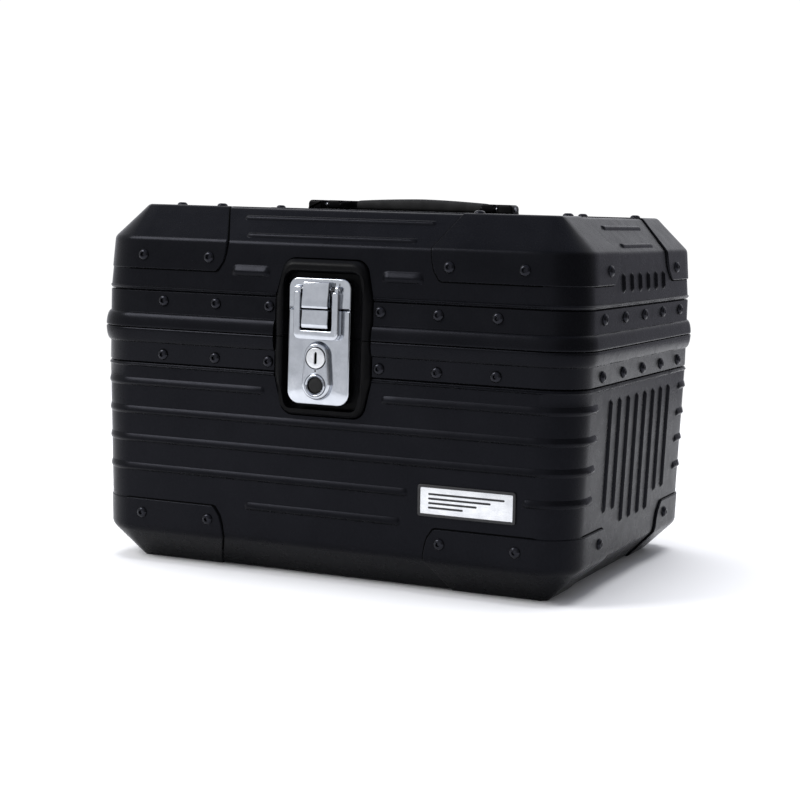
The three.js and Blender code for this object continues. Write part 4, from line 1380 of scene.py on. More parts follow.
@dataclass(frozen=True)
class Protectors(Builder):
    """Eight sheet corner protectors with rolled edges, and their screws."""

    proud: float = 1.8
    edge: float = 1.1
    bulge: float = 9.5
    steps: tuple[float, ...] = (0.0, 0.06, 0.25, 0.55, 0.82, 1.0, 1.5)
    corner_draw: float = 1.3
    box_edge: float = 53.7
    lid_edge: float = 247.3
    box_screw_z: float = 41.9
    lid_screw_z: float = 258.8
    floor_lift: float = 0.05
    top_screws: tuple[Point, ...] = ((115.5, 128), (176, 91.5))

    def plans(self, out: float, grow: float) -> dict[str, ProtectorPlan]:
        """Plans of the lower and the upper protectors, or of the black sheets under them that paint a shadow
        line along their edges.

        Args:
            out: how far the sheet stands proud of the panel.
            grow: how much larger the sheet is than the protector.

        Returns:
            The plans of the box's and the lid's sheets.
        """
        f = self.form
        slope = f.box_chamfer_inset / (f.box_gap - f.box_chamfer)
        rise = f.lid_chamfer_inset / (f.lid_chamfer - f.lid_gap)
        low, high = self.box_edge + grow, self.lid_edge - grow
        box_in, lid_in = slope * (f.box_gap - low), rise * (high - f.lid_gap)
        front = tuple(reach - grow for reach in ProtectorPlan.front)
        side = tuple(reach - grow for reach in ProtectorPlan.side)
        under = f.box_floor - (f.box_floor - self.floor_lift) * out / self.proud
        over = f.lid_top + out / self.proud
        return {
            "box": ProtectorPlan(
                ((box_in - out, low, 0), (f.box_chamfer_inset - out, f.box_chamfer - 0.9, 10),
                 (30.5, under, 4), (33.6, under, 0)),
                ((box_in + 0.3, low, 0), (f.box_chamfer_inset + 0.3, f.box_chamfer + 0.2, 10),
                 (31.9, 3.3, 4), (33.9, 3.3, 0)), low, f.box_chamfer, front, side),
            "lid": ProtectorPlan(
                ((lid_in - out, high, 0), (f.lid_chamfer_inset - out, f.lid_chamfer + 0.6, 7),
                 (f.lid_top_inset - 0.6, over, 6), (33.6, over, 0)),
                ((lid_in + 0.3, high, 0), (f.lid_chamfer_inset + 0.3, f.lid_chamfer - 0.2, 7),
                 (f.lid_top_inset + 0.1, 299.5, 6), (33.9, 299.5, 0)), high, f.lid_chamfer, front, side),
        }

    def border(self, distance: float) -> float:
        """How far the sheet has risen at a distance from its edge, from 0 to 1."""
        t = min(max(distance, 0) / self.edge, 1)
        return math.sqrt(1 - (1 - t) ** 2)

    def patch(self, plan: ProtectorPlan) -> Shape:
        """One protector for the front right corner.

        Args:
            plan: its section and limits.

        Returns:
            A closed body.
        """
        f = self.form
        outer, base = Profile(plan.outer), Profile(plan.base)

        def keys(profile: Profile, corners: Sequence[Sequence[float]]) -> list[float]:
            """Path lengths at a section's ends and nearest to its middle corners."""
            middle = [profile.at[np.argmin(np.hypot(*(profile.path - c[:2]).T))] for c in corners[1:3]]
            return [0.0, *middle, profile.at[-1]]

        outer_keys, base_keys = keys(outer, plan.outer), keys(base, plan.base)
        rows = outer.rows([self.edge * t for t in self.steps], 9)
        legs = np.interp(rows, outer_keys, [0, 1, 2, 3])
        top, _ = outer.sample(rows)
        under, _ = base.sample(np.interp(legs, [0, 1, 2, 3], base_keys))
        a = f.core[0]
        marks = [self.edge * t for t in self.steps]
        upper_rows: Grid = []
        lower_rows: Grid = []
        for v, leg, (ti, tz), (ui, uz) in zip(rows, legs, top, under):
            x0 = plan.limit(plan.front, leg, tz)
            y0 = plan.limit(plan.side, leg, tz)
            front = [x0 + m for m in marks] + list(np.linspace(x0 + marks[-1], a, 8)[1:])
            arc = list(a + np.linspace(0, f.arc, 13)[1:])
            ends = [f.on_right(-y0) - m for m in marks[::-1]]
            flat = list(np.linspace(a + f.arc, ends[0], 8)[1:-1])
            s = np.array(front + arc + flat + ends)
            core, out = f.spine(s)
            along = np.minimum(s - s[0], s[-1] - s)
            high, low = [], []
            for i in range(len(s)):
                rise = self.border(min(along[i] * 0.95, v))
                low_point = Vector((*(core[i] + out[i] * (f.corner - ui)), uz))
                drawn = ti + self.corner_draw * 2 * abs(out[i, 0] * out[i, 1])
                high_point = Vector((*(core[i] + out[i] * (f.corner - drawn)), tz))
                high.append(low_point.lerp(high_point, rise))
                low.append(low_point)
            upper_rows.append(high)
            lower_rows.append(low)
        self.flange(upper_rows, lower_rows)
        return self.closed(upper_rows, lower_rows)

    def flange(self, upper: Grid, lower: Grid) -> None:
        """Adds the rows that carry the flat corner to its slanting edge.

        Args:
            upper: rows of the outer face.
            lower: rows of the inner face.
        """
        last, under = upper[-1], lower[-1]
        steps = [(p - q).length for p, q in zip(under, under[1:])]
        total = sum(steps)
        share = [sum(steps[:i]) / total for i in range(len(under))]
        z_high = last[len(last) // 2].z
        for part in (0.12, 0.26, 0.42, 0.58, 0.72, 0.84, 0.91, 0.955, 0.985, 1.0):
            high, low = [], []
            for i, point in enumerate(under):
                target = under[0].lerp(under[-1], share[i])
                along = (under[-1] - under[0]).normalized()
                inward = Vector((-along.y, along.x, 0))
                target += inward * (self.bulge * min(1, share[i] / 0.14, (1 - share[i]) / 0.14))
                place = point.lerp(target, part)
                left = (target - point).length * (1 - part)
                ends = min(share[i], 1 - share[i]) * total
                rise = self.border(min(left if part < 1 else 0, ends * 0.9))
                low.append(place)
                high.append(place.lerp(Vector((place.x, place.y, z_high)), rise))
            upper.append(high)
            lower.append(low)

    def closed(self, upper: Grid, lower: Grid) -> Shape:
        """Joins the two faces of a sheet along their borders.

        Args:
            upper: rows of points on the outer face.
            lower: as many rows on the inner face.

        Returns:
            A closed body.
        """
        made = Shape()
        rows, count = len(upper), len(upper[0])
        for row in (*upper, *lower):
            made.points.extend(row)
        base = rows * count
        for r in range(rows - 1):
            for i in range(count - 1):
                a, b = r * count + i, (r + 1) * count + i
                made.faces.append((a, b, b + 1, a + 1))
                made.faces.append((base + a, base + a + 1, base + b + 1, base + b))
        ring = [*range(count), *[r * count + count - 1 for r in range(1, rows)],
                *[(rows - 1) * count + i for i in range(count - 2, -1, -1)],
                *[r * count for r in range(rows - 2, 0, -1)]]
        for p, q in zip(ring, ring[1:] + ring[:1]):
            made.faces.append((p, q, base + q, base + p))
        return made

    def screws(self, name: str) -> Shape:
        """The protectors' screws on the walls and on the flat corners.

        Args:
            name: "box" or "lid".

        Returns:
            The screws.
        """
        f = self.form
        box = name == "box"
        z = self.box_screw_z if box else self.lid_screw_z
        xs, y = ((104.3, 167.6), 93.4) if box else ((106.3, 168.5), 95.4)
        slope = (f.box_chamfer_inset if box else -f.lid_chamfer_inset)
        span = (f.box_gap - f.box_chamfer) if box else (f.lid_chamfer - f.lid_gap)
        wall = slope / span * (f.box_gap - z) if box else -slope / span * (z - f.lid_gap)
        lean = (-1 if box else 1) * math.atan(abs(slope) / span)
        places = [turn(sign * x) for x in xs for sign in (-1, 1) for turn in (f.on_front, f.on_rear)]
        places += [turn(sign * y) for sign in (-1, 1) for turn in (f.on_right, f.on_left)]
        made = Shape()
        for index, s in enumerate(places):
            turn = Matrix.Rotation(1.1 * index, 4, "Z")
            made.add(button_screw().moved(self.on_wall(s, wall - self.proud, z, lean) @ turn))
        if not box:
            for sx in (-1, 1):
                for sy in (-1, 1):
                    for x, y in self.top_screws:
                        made.add(button_screw(4.4, 2.2).moved(Matrix.Translation((sx * x, sy * y, 300.8))))
        return made

    def mirrored(self, patch: Shape, sx: int, sy: int, name: str) -> Shape:
        """A front right corner's sheet carried to another corner.

        Args:
            patch: the sheet.
            sx: -1 for the left and 1 for the right.
            sy: -1 for the front and 1 for the rear.
            name: box or lid.

        Returns:
            The sheet with its faces looking outwards.
        """
        made = patch.moved(Matrix.Diagonal((sx, -sy, 1, 1)))
        if (sx * -sy < 0) != (name == "lid"):
            made.faces = [face[::-1] for face in made.faces]
        return made

    def build(self) -> None:
        """Makes the eight protectors, the black sheets under them that paint a shadow line along their edges,
        and their screws.
        """
        for name, plan in self.plans(self.proud, 0.0).items():
            body = Body.BOX if name == "box" else Body.LID
            # seal is a black sheet 0.9 mm larger than each protector, showing as a dark border: painted
            # shadow line along its edge.
            patch, seal = self.patch(plan), self.patch(self.plans(0.35, 0.9)[name])
            shadow_sheets = Shape()
            for end, sy in both_ends():
                for hand, sx in both_sides():
                    made = self.mirrored(patch, sx, sy, name)
                    shadow_sheets.add(self.mirrored(seal, sx, sy, name))
                    node = f"{name}_protector_{end}_{hand}"
                    self.shop.piece(f"{name}_corner_{end}_{hand}", made, body, Slot.FRAME,
                                    self.look.rim, [node], 34)
            self.shop.piece(f"{name}_corner_shadow_sheets", shadow_sheets, body, Slot.RUBBER, self.look.shade_black)
            self.shop.piece(f"{name}_corner_screws", self.screws(name), body, Slot.STEEL, self.look.screw)


# -------- lock


def arc_points(centre: Point, radius: float, start: float, end: float, step: float = 12) -> Loop:
    """Points on an arc, from one angle to another in degrees.

    Args:
        centre: the arc's centre.
        radius: its radius.
        start: the first angle.
        end: the last angle.
        step: about how far apart the points are.

    Returns:
        The points.
    """
    turns = max(1, math.ceil(abs(end - start) / step))
    angles = [math.radians(start + (end - start) * i / turns) for i in range(turns + 1)]
    return [(centre[0] + radius * math.cos(a), centre[1] + radius * math.sin(a)) for a in angles]


def resampled(loop: Loop, count: int, start: Point) -> Loop:
    """A loop walked again in equal angular steps about a point.

    Args:
        loop: a loop that is seen whole from the point.
        count: how many points to give.
        start: the point.

    Returns:
        The new loop, counter-clockwise from the right.
    """
    angles = [math.atan2(v - start[1], u - start[0]) % (2 * math.pi) for u, v in loop]
    shift = angles.index(min(angles))
    ring = [*loop[shift:], *loop[:shift]]
    ring_angles = [angles[(i + shift) % len(loop)] for i in range(len(loop))]
    turn = 2 * math.pi
    ring_angles = [ring_angles[-1] - turn, *ring_angles, ring_angles[0] + turn]
    ring = [ring[-1], *ring, ring[0]]
    made = []
    for i in range(count):
        angle = turn * i / count
        k = max(j for j in range(len(ring_angles) - 1) if ring_angles[j] <= angle + 1e-9)
        (u0, v0), (u1, v1) = ring[k], ring[k + 1]
        ray = (math.cos(angle), math.sin(angle))
        du, dv = u1 - u0, v1 - v0
        cross = ray[0] * dv - ray[1] * du
        reach = ((u0 - start[0]) * dv - (v0 - start[1]) * du) / cross if abs(cross) > 1e-9 else 0.0
        made.append((start[0] + ray[0] * reach, start[1] + ray[1] * reach))
    return made


@dataclass(frozen=True)
class Bezel(Builder):
    """The moulded bezel that sinks the lock into the front, in two halves."""

    half_width: float = 42.7
    straight: float = 31
    shoulder: float = 35.3
    half_height: float = 62.4
    proud: float = 4.6
    pocket: tuple[float, float, float, float] = (-34.5, 140.5, 34.5, 251)
    pocket_round: float = 9
    depth: float = 6
    wall: float = 1.9

    def outline(self, grow: float = 0.0) -> Loop:
        """The bezel's outer loop, in height above the ground.

        Args:
            grow: how far outside the bezel.

        Returns:
            The loop.
        """
        w, s, k, h = self.half_width, self.straight, self.shoulder, self.half_height
        z = self.form.parting
        corners = [(w, -s, 9), (w, s, 9), (k, h, 11), (-k, h, 11), (-w, s, 9), (-w, -s, 9),
                   (-k, -h, 11), (k, -h, 11)]
        return offset([(x, z + v) for x, v in fillet(corners, step=7)], -grow)

    def tray(self) -> Mesh:
        """The whole bezel: flange, rounded lip, pocket walls and floor.

        Returns:
            The mesh.
        """
        middle, count = (0.0, self.form.parting), 160
        outer = resampled(self.outline(), count, middle)
        inner = resampled(box_loop(*self.pocket, self.pocket_round), count, middle)
        rings: list[list[Triple]] = []

        def ring(loop: Loop, inset: float, depth: float) -> None:
            """Adds a ring of the section."""
            rings.append([(u, v, depth) for u, v in offset(loop, inset)])

        ring(inner, -self.wall, -self.depth - self.wall)
        ring(inner, -self.wall, -4.5)
        ring(outer, 0, -4.5)
        for inset, rise in ((0, 0.1), (0.12, 0.5), (0.5, 1.2), (1.2, 2.2), (2.1, 3.1), (3.1, 3.85),
                            (4.1, 4.35), (5.0, 4.55)):
            ring(outer, inset, rise)
        for a in np.radians((90, 72, 54, 36, 18, 0)):
            ring(inner, -2.4 * (1 - math.cos(a)), self.proud - 2.8 + 2.8 * math.sin(a))
        ring(inner, 0, 1.0)
        ring(inner, 0.4, -self.depth + 1.2)
        ring(inner, 1.3, -self.depth)
        shape = Shape().loft(rings)
        return shape.moved(Plane.FRONT.matrix(self.front())).mesh("bezel")

    def half(self, side: int) -> Mesh:
        """One half of the bezel.

        Args:
            side: -1 for the box and 1 for the lid.

        Returns:
            The half's mesh.
        """
        work = bmesh.new()
        work.from_mesh(self.tray())
        z = (self.form.parting + side * self.form.parting_gap) * MM
        parts = [*work.verts, *work.edges, *work.faces]
        cut = bmesh.ops.bisect_plane(work, geom=parts, plane_co=(0, 0, z), plane_no=(0, 0, -side),
                                     clear_outer=True)
        edges = [e for e in cut["geom_cut"] if isinstance(e, bmesh.types.BMEdge)]
        bmesh.ops.triangle_fill(work, use_beauty=True, edges=edges)
        bmesh.ops.recalc_face_normals(work, faces=work.faces)
        made = bpy.data.meshes.new("bezel_half")
        work.to_mesh(made)
        work.free()
        return made

    def build(self) -> None:
        """Makes both halves."""
        for side, name, body in ((-1, "lower", Body.BOX), (1, "upper", Body.LID)):
            self.shop.piece(f"lock_bezel_{name}", self.half(side), body, Slot.PLASTIC, self.look.plastic,
                            [f"bezel_{name}"], 32)


@dataclass(frozen=True)
class Lock(Builder):
    """The chrome lock: housing, strike plate, hasp, cylinder, button and catch."""

    half_width: float = 27.15
    bottom: float = 145.6
    split: float = 221.6
    top: float = 246.2
    plate: float = 8.0
    pad: float = 13.0
    lock_z: float = 183.1
    button_z: float = 161.4
    pivot_z: float = 238.1
    pivot_depth: float = 11.65
    tongue: float = 17.5
    tongue_half: float = 11.5
    hasp_half: float = 19.7
    hasp_bottom: float = 197.6
    hasp_front: float = 15.0

    def faced(self, shape: Shape) -> Shape:
        """A shape carried from outline axes to the front of the case."""
        return shape.moved(Plane.FRONT.matrix(self.front()))

    def on_front(self, z: float) -> Matrix:
        """The place of a part that stands on the front at a height."""
        return Matrix.Translation((0, -self.form.half_depth, z)) @ Plane.FRONT.matrix((0, 0, 0))

    def pad_outline(self) -> Loop:
        """The raised key pad: a long round-ended shape, a little narrower towards its top."""
        low, high = (0.0, 162.6), (0.0, 184.6)
        return [*arc_points(low, 13.5, 180, 360, 8), *arc_points(high, 11.6, 0, 180, 8)]

    def housing(self) -> Shape:
        """The lower plate with its raised pad.

        Returns:
            The plate.
        """
        w, top = self.half_width, self.split - 0.3
        corners = [(-w, self.bottom, 10), (w, self.bottom, 10), (w, top, 0.6), (-w, top, 0.6)]
        nose = box_loop(-4, 204.5, 4, 213.8, 0.8)
        holes = [circle(9.0, 48, 0, self.lock_z), circle(9.2, 48, 0, self.button_z), nose]
        made = slab(fillet(corners, step=8), -5.7, self.plate, 1.1, 0, holes, 2.2)
        outline = self.pad_outline()
        levels = [(-0.5, self.plate - 0.3), (0.0, self.plate + 0.1), (0.35, self.plate + 1.5),
                  (0.9, self.plate + 3.2),
                  (1.5, self.plate + 4.3), (2.2, self.plate + 4.85), (2.9, self.pad)]
        loops = [[(u, v, h) for u, v in offset(outline, inset)] for inset, h in levels]
        pad = Shape().loft(loops, start=False, end=False)
        key, button = circle(9.0, 48, 0, self.lock_z), circle(9.2, 48, 0, self.button_z)
        rims = [[Vector((u, v, self.pad)) for u, v in offset(hole, -0.25)] for hole in (key, button)]
        dot = [Vector((u, v, self.pad)) for u, v in circle(0.75, 14, 0, 172.9)]
        pad.cap_with_holes([Vector(p) for p in loops[-1]], [*rims, dot], Vector((0, 0, 1)))
        for hole, rim in zip((key, button), rims):
            neck = [(u, v, self.pad - 0.25) for u, v in hole]
            foot = [(u, v, self.plate - 0.5) for u, v in hole]
            pad.loft([list(reversed(rim)), neck[::-1], foot[::-1]], False, False)
        pad.loft([dot[::-1], [(p.x, p.y, self.pad - 1) for p in dot[::-1]]], False, True)
        return self.faced(made.add(pad))

    def strike(self) -> Shape:
        """The upper plate.

        Returns:
            The plate.
        """
        w, low = self.half_width, self.split + 0.3
        corners = [(-w, low, 0.6), (w, low, 0.6), (w, self.top, 8), (-w, self.top, 8)]
        return self.faced(slab(fillet(corners, step=8), -5.7, self.plate, 1.1))

    def side_slab(self, outline: Loop, x0: float, x1: float, edge: float) -> Shape:
        """A body drawn from the side, as depths in front of the flat and heights."""
        loop = [(-self.form.half_depth - d, z) for d, z in outline][::-1]
        return slab(loop, x0, x1, edge, edge).moved(Plane.SIDE.matrix((0, 0, 0)))

    def pivot(self) -> Shape:
        """The fixed block that carries the hasp's pin.

        Returns:
            The block.
        """
        low, back, t = self.split + 0.3, self.plate + 0.1, self.tongue
        face = [(t - 0.2, low + 0.9), (t, low + 1.6), (t - 0.05, low + 4), (t - 0.35, low + 7),
                (t - 0.8, low + 9.2),
                (t - 1.3, low + 11.5), (t - 1.8, low + 16), (t - 2.3, 242.0), (t - 2.8, 243.0),
                (t - 3.8, 243.5)]
        outline = [(back, low), (t - 2.6, low), *face, (back, 243.5)]
        return self.side_slab(outline, -self.tongue_half, self.tongue_half, 0.8)

    def hasp(self) -> Shape:
        """The hasp: a frame that hangs from the pin, with ears, a thumb block and a nose.

        Returns:
            The hasp.
        """
        back, front, w = self.plate + 0.35, self.hasp_front, self.hasp_half
        inside = w - 6
        z0, z1 = self.hasp_bottom, self.pivot_z
        top = z1 - 2.2
        bar = [(-w, z0, 5.5), (w, z0, 5.5), (w, top, 2.6), (inside, top, 2.2), (inside, z0 + 7.5, 1.2),
               (-inside, z0 + 7.5, 1.2), (-inside, top, 2.2), (-w, top, 2.6)]
        frame_part = slab(fillet(bar, step=10), back, front, 1.2, 0.4)
        made = self.faced(frame_part)
        hub = arc_points((self.pivot_depth, z1), 2.5, 10, 170, 16)
        ear = [(back + 0.4, z1 - 7), (front - 0.6, z1 - 7), (front - 0.7, z1 - 2.4), *hub,
               (back + 0.4, z1 - 2)]
        for x0, x1 in ((-w + 0.5, -inside), (inside + 2.4, w - 0.5)):
            made.add(self.side_slab(ear, x0, x1, 0.4))
        t, high, low = self.tongue - 0.3, self.split - 0.35, z0 + 9.1
        face = [(t - 2.6, low), (t - 1.0, low + 0.4), (t - 0.2, low + 1.4), (t + 0.1, low + 3.2),
                (t - 0.1, low + 5.5),
                (t - 0.7, low + 9), (t - 1.0, low + 12), (t - 0.8, high - 1.2), (t - 0.9, high - 0.3),
                (t - 1.3, high)]
        made.add(self.side_slab([(back, low), *face, (back, high)], -self.tongue_half, self.tongue_half, 0.7))
        nose = slab(box_loop(-3, 206.5, 3, 213, 0.6), 2.2, back + 0.6, 0.2, 0.6)
        return made.add(self.faced(nose))

    def spring(self) -> Shape:
        """The hasp's torsion spring: close coils round the pin, slim enough for the arm to swing past.

        Returns:
            The spring.
        """
        radius, pitch, turns, steps = 1.72, 0.98, 3, 20
        path = []
        for i in range(turns * steps + 1):
            a = 2 * math.pi * i / steps
            y = -self.form.half_depth - self.pivot_depth - radius * math.cos(a)
            path.append(Vector((12.8 + i * pitch / steps, y, self.pivot_z + radius * math.sin(a))))
        path.insert(0, path[0] + Vector((0, 0.6, -5)))
        path.append(path[-1] + Vector((0, 0.6, 5)))
        return tube(path, 0.42, 8)

    def cylinder(self) -> Shape:
        """The key plug's face, with its keyway and shank.

        Returns:
            The plug.
        """
        slot_loop = box_loop(-1.05, -4.7, 1.05, 4.7, 0.95)
        face = slab(circle(8.25, 56), self.pad - 2.2, self.pad + 0.35, 0.5, 0, [slot_loop], self.pad - 2.0)
        face.add(turned([(5.4, 0.0), (5.4, self.pad - 2.1)], 28))
        return face.moved(self.on_front(self.lock_z))

    def ring(self, radii: Sequence[Point], z: float) -> Shape:
        """A turned part on the front, about a centre at a height."""
        return turned(radii, 48).moved(self.on_front(z))

    def collar(self) -> Shape:
        """The raised ring round the button: an outer lip, a groove and an inner lip.

        Returns:
            The ring.
        """
        p = self.pad
        profile = [(8.9, self.plate - 2), (8.9, p + 0.2), (8.6, p + 0.75), (8.0, p + 1.0), (7.55, p + 0.75),
                   (7.3, p + 0.1), (7.1, p - 0.1), (6.9, p + 0.05), (6.8, p - 0.6), (6.75, self.plate - 2)]
        made, steps = Shape(), 56
        loops = [[Vector((u, v, h)) for u, v in circle(r, steps)] for r, h in profile]
        made.loft([*loops, loops[0]], False, False)
        return made.moved(self.on_front(self.button_z))

    def build(self) -> None:
        """Makes the lock's pieces."""
        look, p, shop = self.look, self.pad, self.shop
        shop.piece("lock_housing", self.housing(), Body.BOX, Slot.CHROME, look.chrome, ["latch_housing"], 30)
        shop.piece("lock_strike", self.strike(), Body.LID, Slot.CHROME, look.chrome, ["strike_plate"], 30)
        shop.piece("hasp_pivot_block", self.pivot(), Body.LID, Slot.CHROME, look.chrome, ["pivot_block"], 20)
        shop.piece("hasp", self.hasp(), Body.HASP, Slot.CHROME, look.chrome, ["hasp_lever"], 32)
        # A near-black sheet behind the hasp's window: painted shade in the gaps beside the thumb block.
        inside, back = self.hasp_half - 5.4, self.plate + 0.35
        window_shade = slab(box_loop(-inside, self.hasp_bottom + 3, inside, self.split - 0.4, 0.4), back,
                   back + 1.1, 0.2)
        shop.piece("hasp_window_shade", self.faced(window_shade), Body.HASP, Slot.PLASTIC, look.shade_black)
        shop.piece("hasp_coil", self.spring(), Body.LID, Slot.STEEL, look.spring, ["hasp_spring"], 60)
        shop.piece("key_plug", self.cylinder(), Body.LOCK, Slot.CHROME, look.silver, ["lock_plug"], 30)
        # A near-black block sunk in the keyway: painted shade in the slot.
        keyway = slab(box_loop(-1.2, -4.85, 1.2, 4.85, 1), p - 1.6, p - 0.5,
                      0.05).moved(self.on_front(self.lock_z))
        shop.piece("keyway_shade_fill", keyway, Body.LOCK, Slot.PLASTIC, look.shade_black)
        # Near-black fills in the gap round the key plug and in the small hole below it: painted shade.
        groove = turned([(8.3, p - 1.5), (8.3, p - 0.35), (9.15, p - 0.35), (9.15, p - 1.5)], 48)
        groove.faces = groove.faces[:-2]
        gap_shade = groove.moved(self.on_front(self.lock_z))
        gap_shade.add(slab(circle(0.72, 14), p - 0.9, p - 0.3, 0.05).moved(self.on_front(172.9)))
        shop.piece("key_gap_shade", gap_shade, Body.BOX, Slot.RUBBER, look.shade_black)
        shop.piece("key_barrel",
                   self.ring([(7.5, 2.0), (7.5, p - 2.4), (5.9, p - 2.4), (5.9, 3.0)], self.lock_z),
                   Body.BOX, Slot.ZINC, look.zinc, ["lock_barrel"])
        shop.piece("button_collar", self.collar(), Body.BOX, Slot.CHROME, look.chrome, ["button_ring"], 40)
        cap = [(3.0, 2.0), (3.0, p - 6), (6.3, p - 6), (6.4, p - 1.4), (6.1, p - 0.75),
               (5.0, p - 0.45), (2.5, p - 0.3),
               (0.3, p - 0.28)]
        shop.piece("button_cap", self.ring(cap, self.button_z), Body.BUTTON, Slot.PLASTIC, look.rubber,
                   ["release_button"], 50)


def tube(path: Sequence[Vector], radius: float, sides: int = 10) -> Shape:
    """A round bar along a path.

    Args:
        path: the points of its centre line.
        radius: its radius.
        sides: facets round it.

    Returns:
        A closed body.
    """
    made, loops = Shape(), []
    side = Vector((0.0, 0.0, 0.0))
    for i, point in enumerate(path):
        way = (path[min(i + 1, len(path) - 1)] - path[max(i - 1, 0)]).normalized()
        if i == 0:
            side = way.orthogonal().normalized()
        side = (side - way * side.dot(way)).normalized()
        other = way.cross(side)
        turns = [2 * math.pi * k / sides for k in range(sides)]
        loops.append([point + side * (radius * math.cos(a)) + other * (radius * math.sin(a)) for a in turns])
    return made.loft(loops)


# -------- name plate


@dataclass(frozen=True)
class NamePlate(Builder):
    """A grained silver plate in a black surround, with a plain pattern of bars."""

    x: float = 126.3
    z: float = 75.8
    width: float = 82
    height: float = 25.5

    def place(self) -> Matrix:
        """The plate's place on the front wall.

        Returns:
            Its matrix.
        """
        f = self.form
        slope = f.box_chamfer_inset / (f.box_gap - f.box_chamfer)
        inset = slope * (f.box_gap - self.z)
        return self.on_wall(f.on_front(self.x), inset, self.z, -math.atan(slope))

    def bars(self) -> Shape:
        """Flat printed bars of graded length.

        Returns:
            The bars.
        """
        made, w = Shape(), self.width / 2 - 9
        for row, length in enumerate((1.0, 0.82, 0.64, 0.46)):
            v = 5.4 - 3.6 * row
            made.add(slab(box_loop(-w, v - 0.85, -w + 2 * w * length, v + 0.85, 0.8), 1.1, 1.37, 0.08))
        return made

    def build(self) -> None:
        """Makes the surround, the plate and its print."""
        place, w, h = self.place(), self.width / 2, self.height / 2
        surround = slab(box_loop(-w, -h, w, h, 2.2), -0.3, 1.75, 0.6, 0,
                        [box_loop(-w + 2.3, -h + 2.3, w - 2.3, h - 2.3, 0.8)])
        self.shop.piece("plate_surround", surround.moved(place), Body.BOX, Slot.NAME_PLATE,
                        self.look.ink, ["badge"])
        face = slab(box_loop(-w + 2.1, -h + 2.1, w - 2.1, h - 2.1, 0.8), -0.2, 1.25, 0.2)
        self.shop.piece("plate_face", face.moved(place), Body.BOX, Slot.NAME_PLATE, self.look.silver)
        self.shop.piece("plate_bars", self.bars().moved(place), Body.BOX, Slot.NAME_PLATE, self.look.ink)


# -------- handle


@dataclass(frozen=True)
class Handle(Builder):
    """The folding handle: two brackets, their pins and a grip."""

    bracket_x: float = 91.5
    axis_z: float = 304.6
    half_span: float = 80
    arm: float = 14
    reach: float = 36
    bar: float = 17
    bottom: float = 302.0
    end: float = 308.6
    crown: float = 311.6

    def bracket(self, sign: int) -> Shape:
        """A moulded bracket with a rounded outer end.

        Args:
            sign: -1 for the left and 1 for the right.

        Returns:
            The bracket.
        """
        z0 = self.form.lid_top + 0.05
        outer, inner = sign * (self.bracket_x + 5.6), sign * (self.bracket_x - 9)
        loop = [(outer, z0, 0.4), (inner, z0, 0.4), (inner, z0 + 8.7, 0.8), (outer, z0 + 8.7, 3.6)]
        loop = loop if sign < 0 else loop[::-1]
        made = slab(fillet(loop, step=9), -11, 7, 2.0, 2.0)
        return made.moved(Plane.FRONT.matrix((0, 0, 0)))

    def plan(self, front: float, round_end: float) -> Loop:
        """The grip's outline seen from above.

        Args:
            front: how far forward the arms reach.
            round_end: the rounding of the arms' ends.

        Returns:
            The outline.
        """
        w, inner = self.half_span, self.half_span - self.arm
        corners = [(-w, front, round_end), (-inner, front, round_end), (-inner, self.reach - self.bar, 8),
                   (inner, self.reach - self.bar, 8), (inner, front, round_end), (w, front, round_end),
                   (w, self.reach, 12), (-w, self.reach, 12)]
        return fillet(corners, step=8)

    def grip(self) -> Shape:
        """The core of the grip: a flat U with two ears.

        Returns:
            The core.
        """
        core = slab(self.plan(-3.1, 3), self.bottom + 0.2, self.end, 1.4, 0.8)
        core.add(slab(self.plan(1.0, 0.8), self.form.lid_top + 0.6, self.bottom + 1.0, 0.2, 0.8))
        for x0, x1 in ((-self.half_span + 0.02, -self.half_span + self.arm - 0.02),
                       (self.half_span - self.arm + 0.02, self.half_span - 0.02)):
            hub = arc_points((0, self.axis_z), 3.05, -90, 270, 15)[:-1]
            core.add(slab(hub, x0, x1, 0.5, 0.5).moved(Plane.SIDE.matrix((0, 0, 0))))
        return core

    def sleeve(self) -> Shape:
        """The crowned rubber grip, thickest in its middle, with shallow finger grooves.

        Returns:
            The sleeve.
        """
        loops = []
        y = self.reach - self.bar / 2
        angles = np.linspace(0, 2 * math.pi, 29)[:-1]
        squared = [tuple(math.copysign(abs(t) ** 0.6, t) for t in (math.cos(a), math.sin(a))) for a in angles]
        for x in np.linspace(-62, 62, 62):
            t = abs(x) / 62
            crown = self.end + 0.5 + (self.crown - self.end - 0.5) * (1 - t ** 1.6)
            wave = 0.25 * math.cos(x / 62 * math.pi * 7) * (t < 0.75)
            end = 1 - 0.16 * max(0.0, (t - 0.95) / 0.05) ** 2
            half_y, low = (self.bar / 2 + 1.4 + wave) * end, self.form.lid_top + 0.5
            middle, half_z = (crown + low) / 2, (crown - low) / 2 * end
            loops.append([(x, y + half_y * u, middle + half_z * v) for u, v in squared])
        return Shape().loft(loops)

    def build(self) -> None:
        """Makes the handle's pieces."""
        look, shop = self.look, self.shop
        for hand, sign in both_sides():
            shop.piece(f"handle_mount_{hand}", self.bracket(sign), Body.LID, Slot.PLASTIC, look.plastic,
                       [f"handle_bracket_{hand}"], 32)
            a, b = sorted((sign * (self.half_span - self.arm + 2), sign * 98))
            pin = rounded_rod(1.8, a, b, 0.3, 24).moved(Plane.SIDE.matrix((0, 0, self.axis_z)))
            shop.piece(f"handle_bolt_{hand}", pin, Body.LID, Slot.STEEL, look.steel, [f"handle_pin_{hand}"])
        shop.piece("handle_core", self.grip(), Body.HANDLE, Slot.PLASTIC, look.plastic, ["handle_grip"], 32)
        shop.piece("handle_sleeve", self.sleeve(), Body.HANDLE, Slot.RUBBER, look.rubber, (), 50)


# -------- hinges and stays


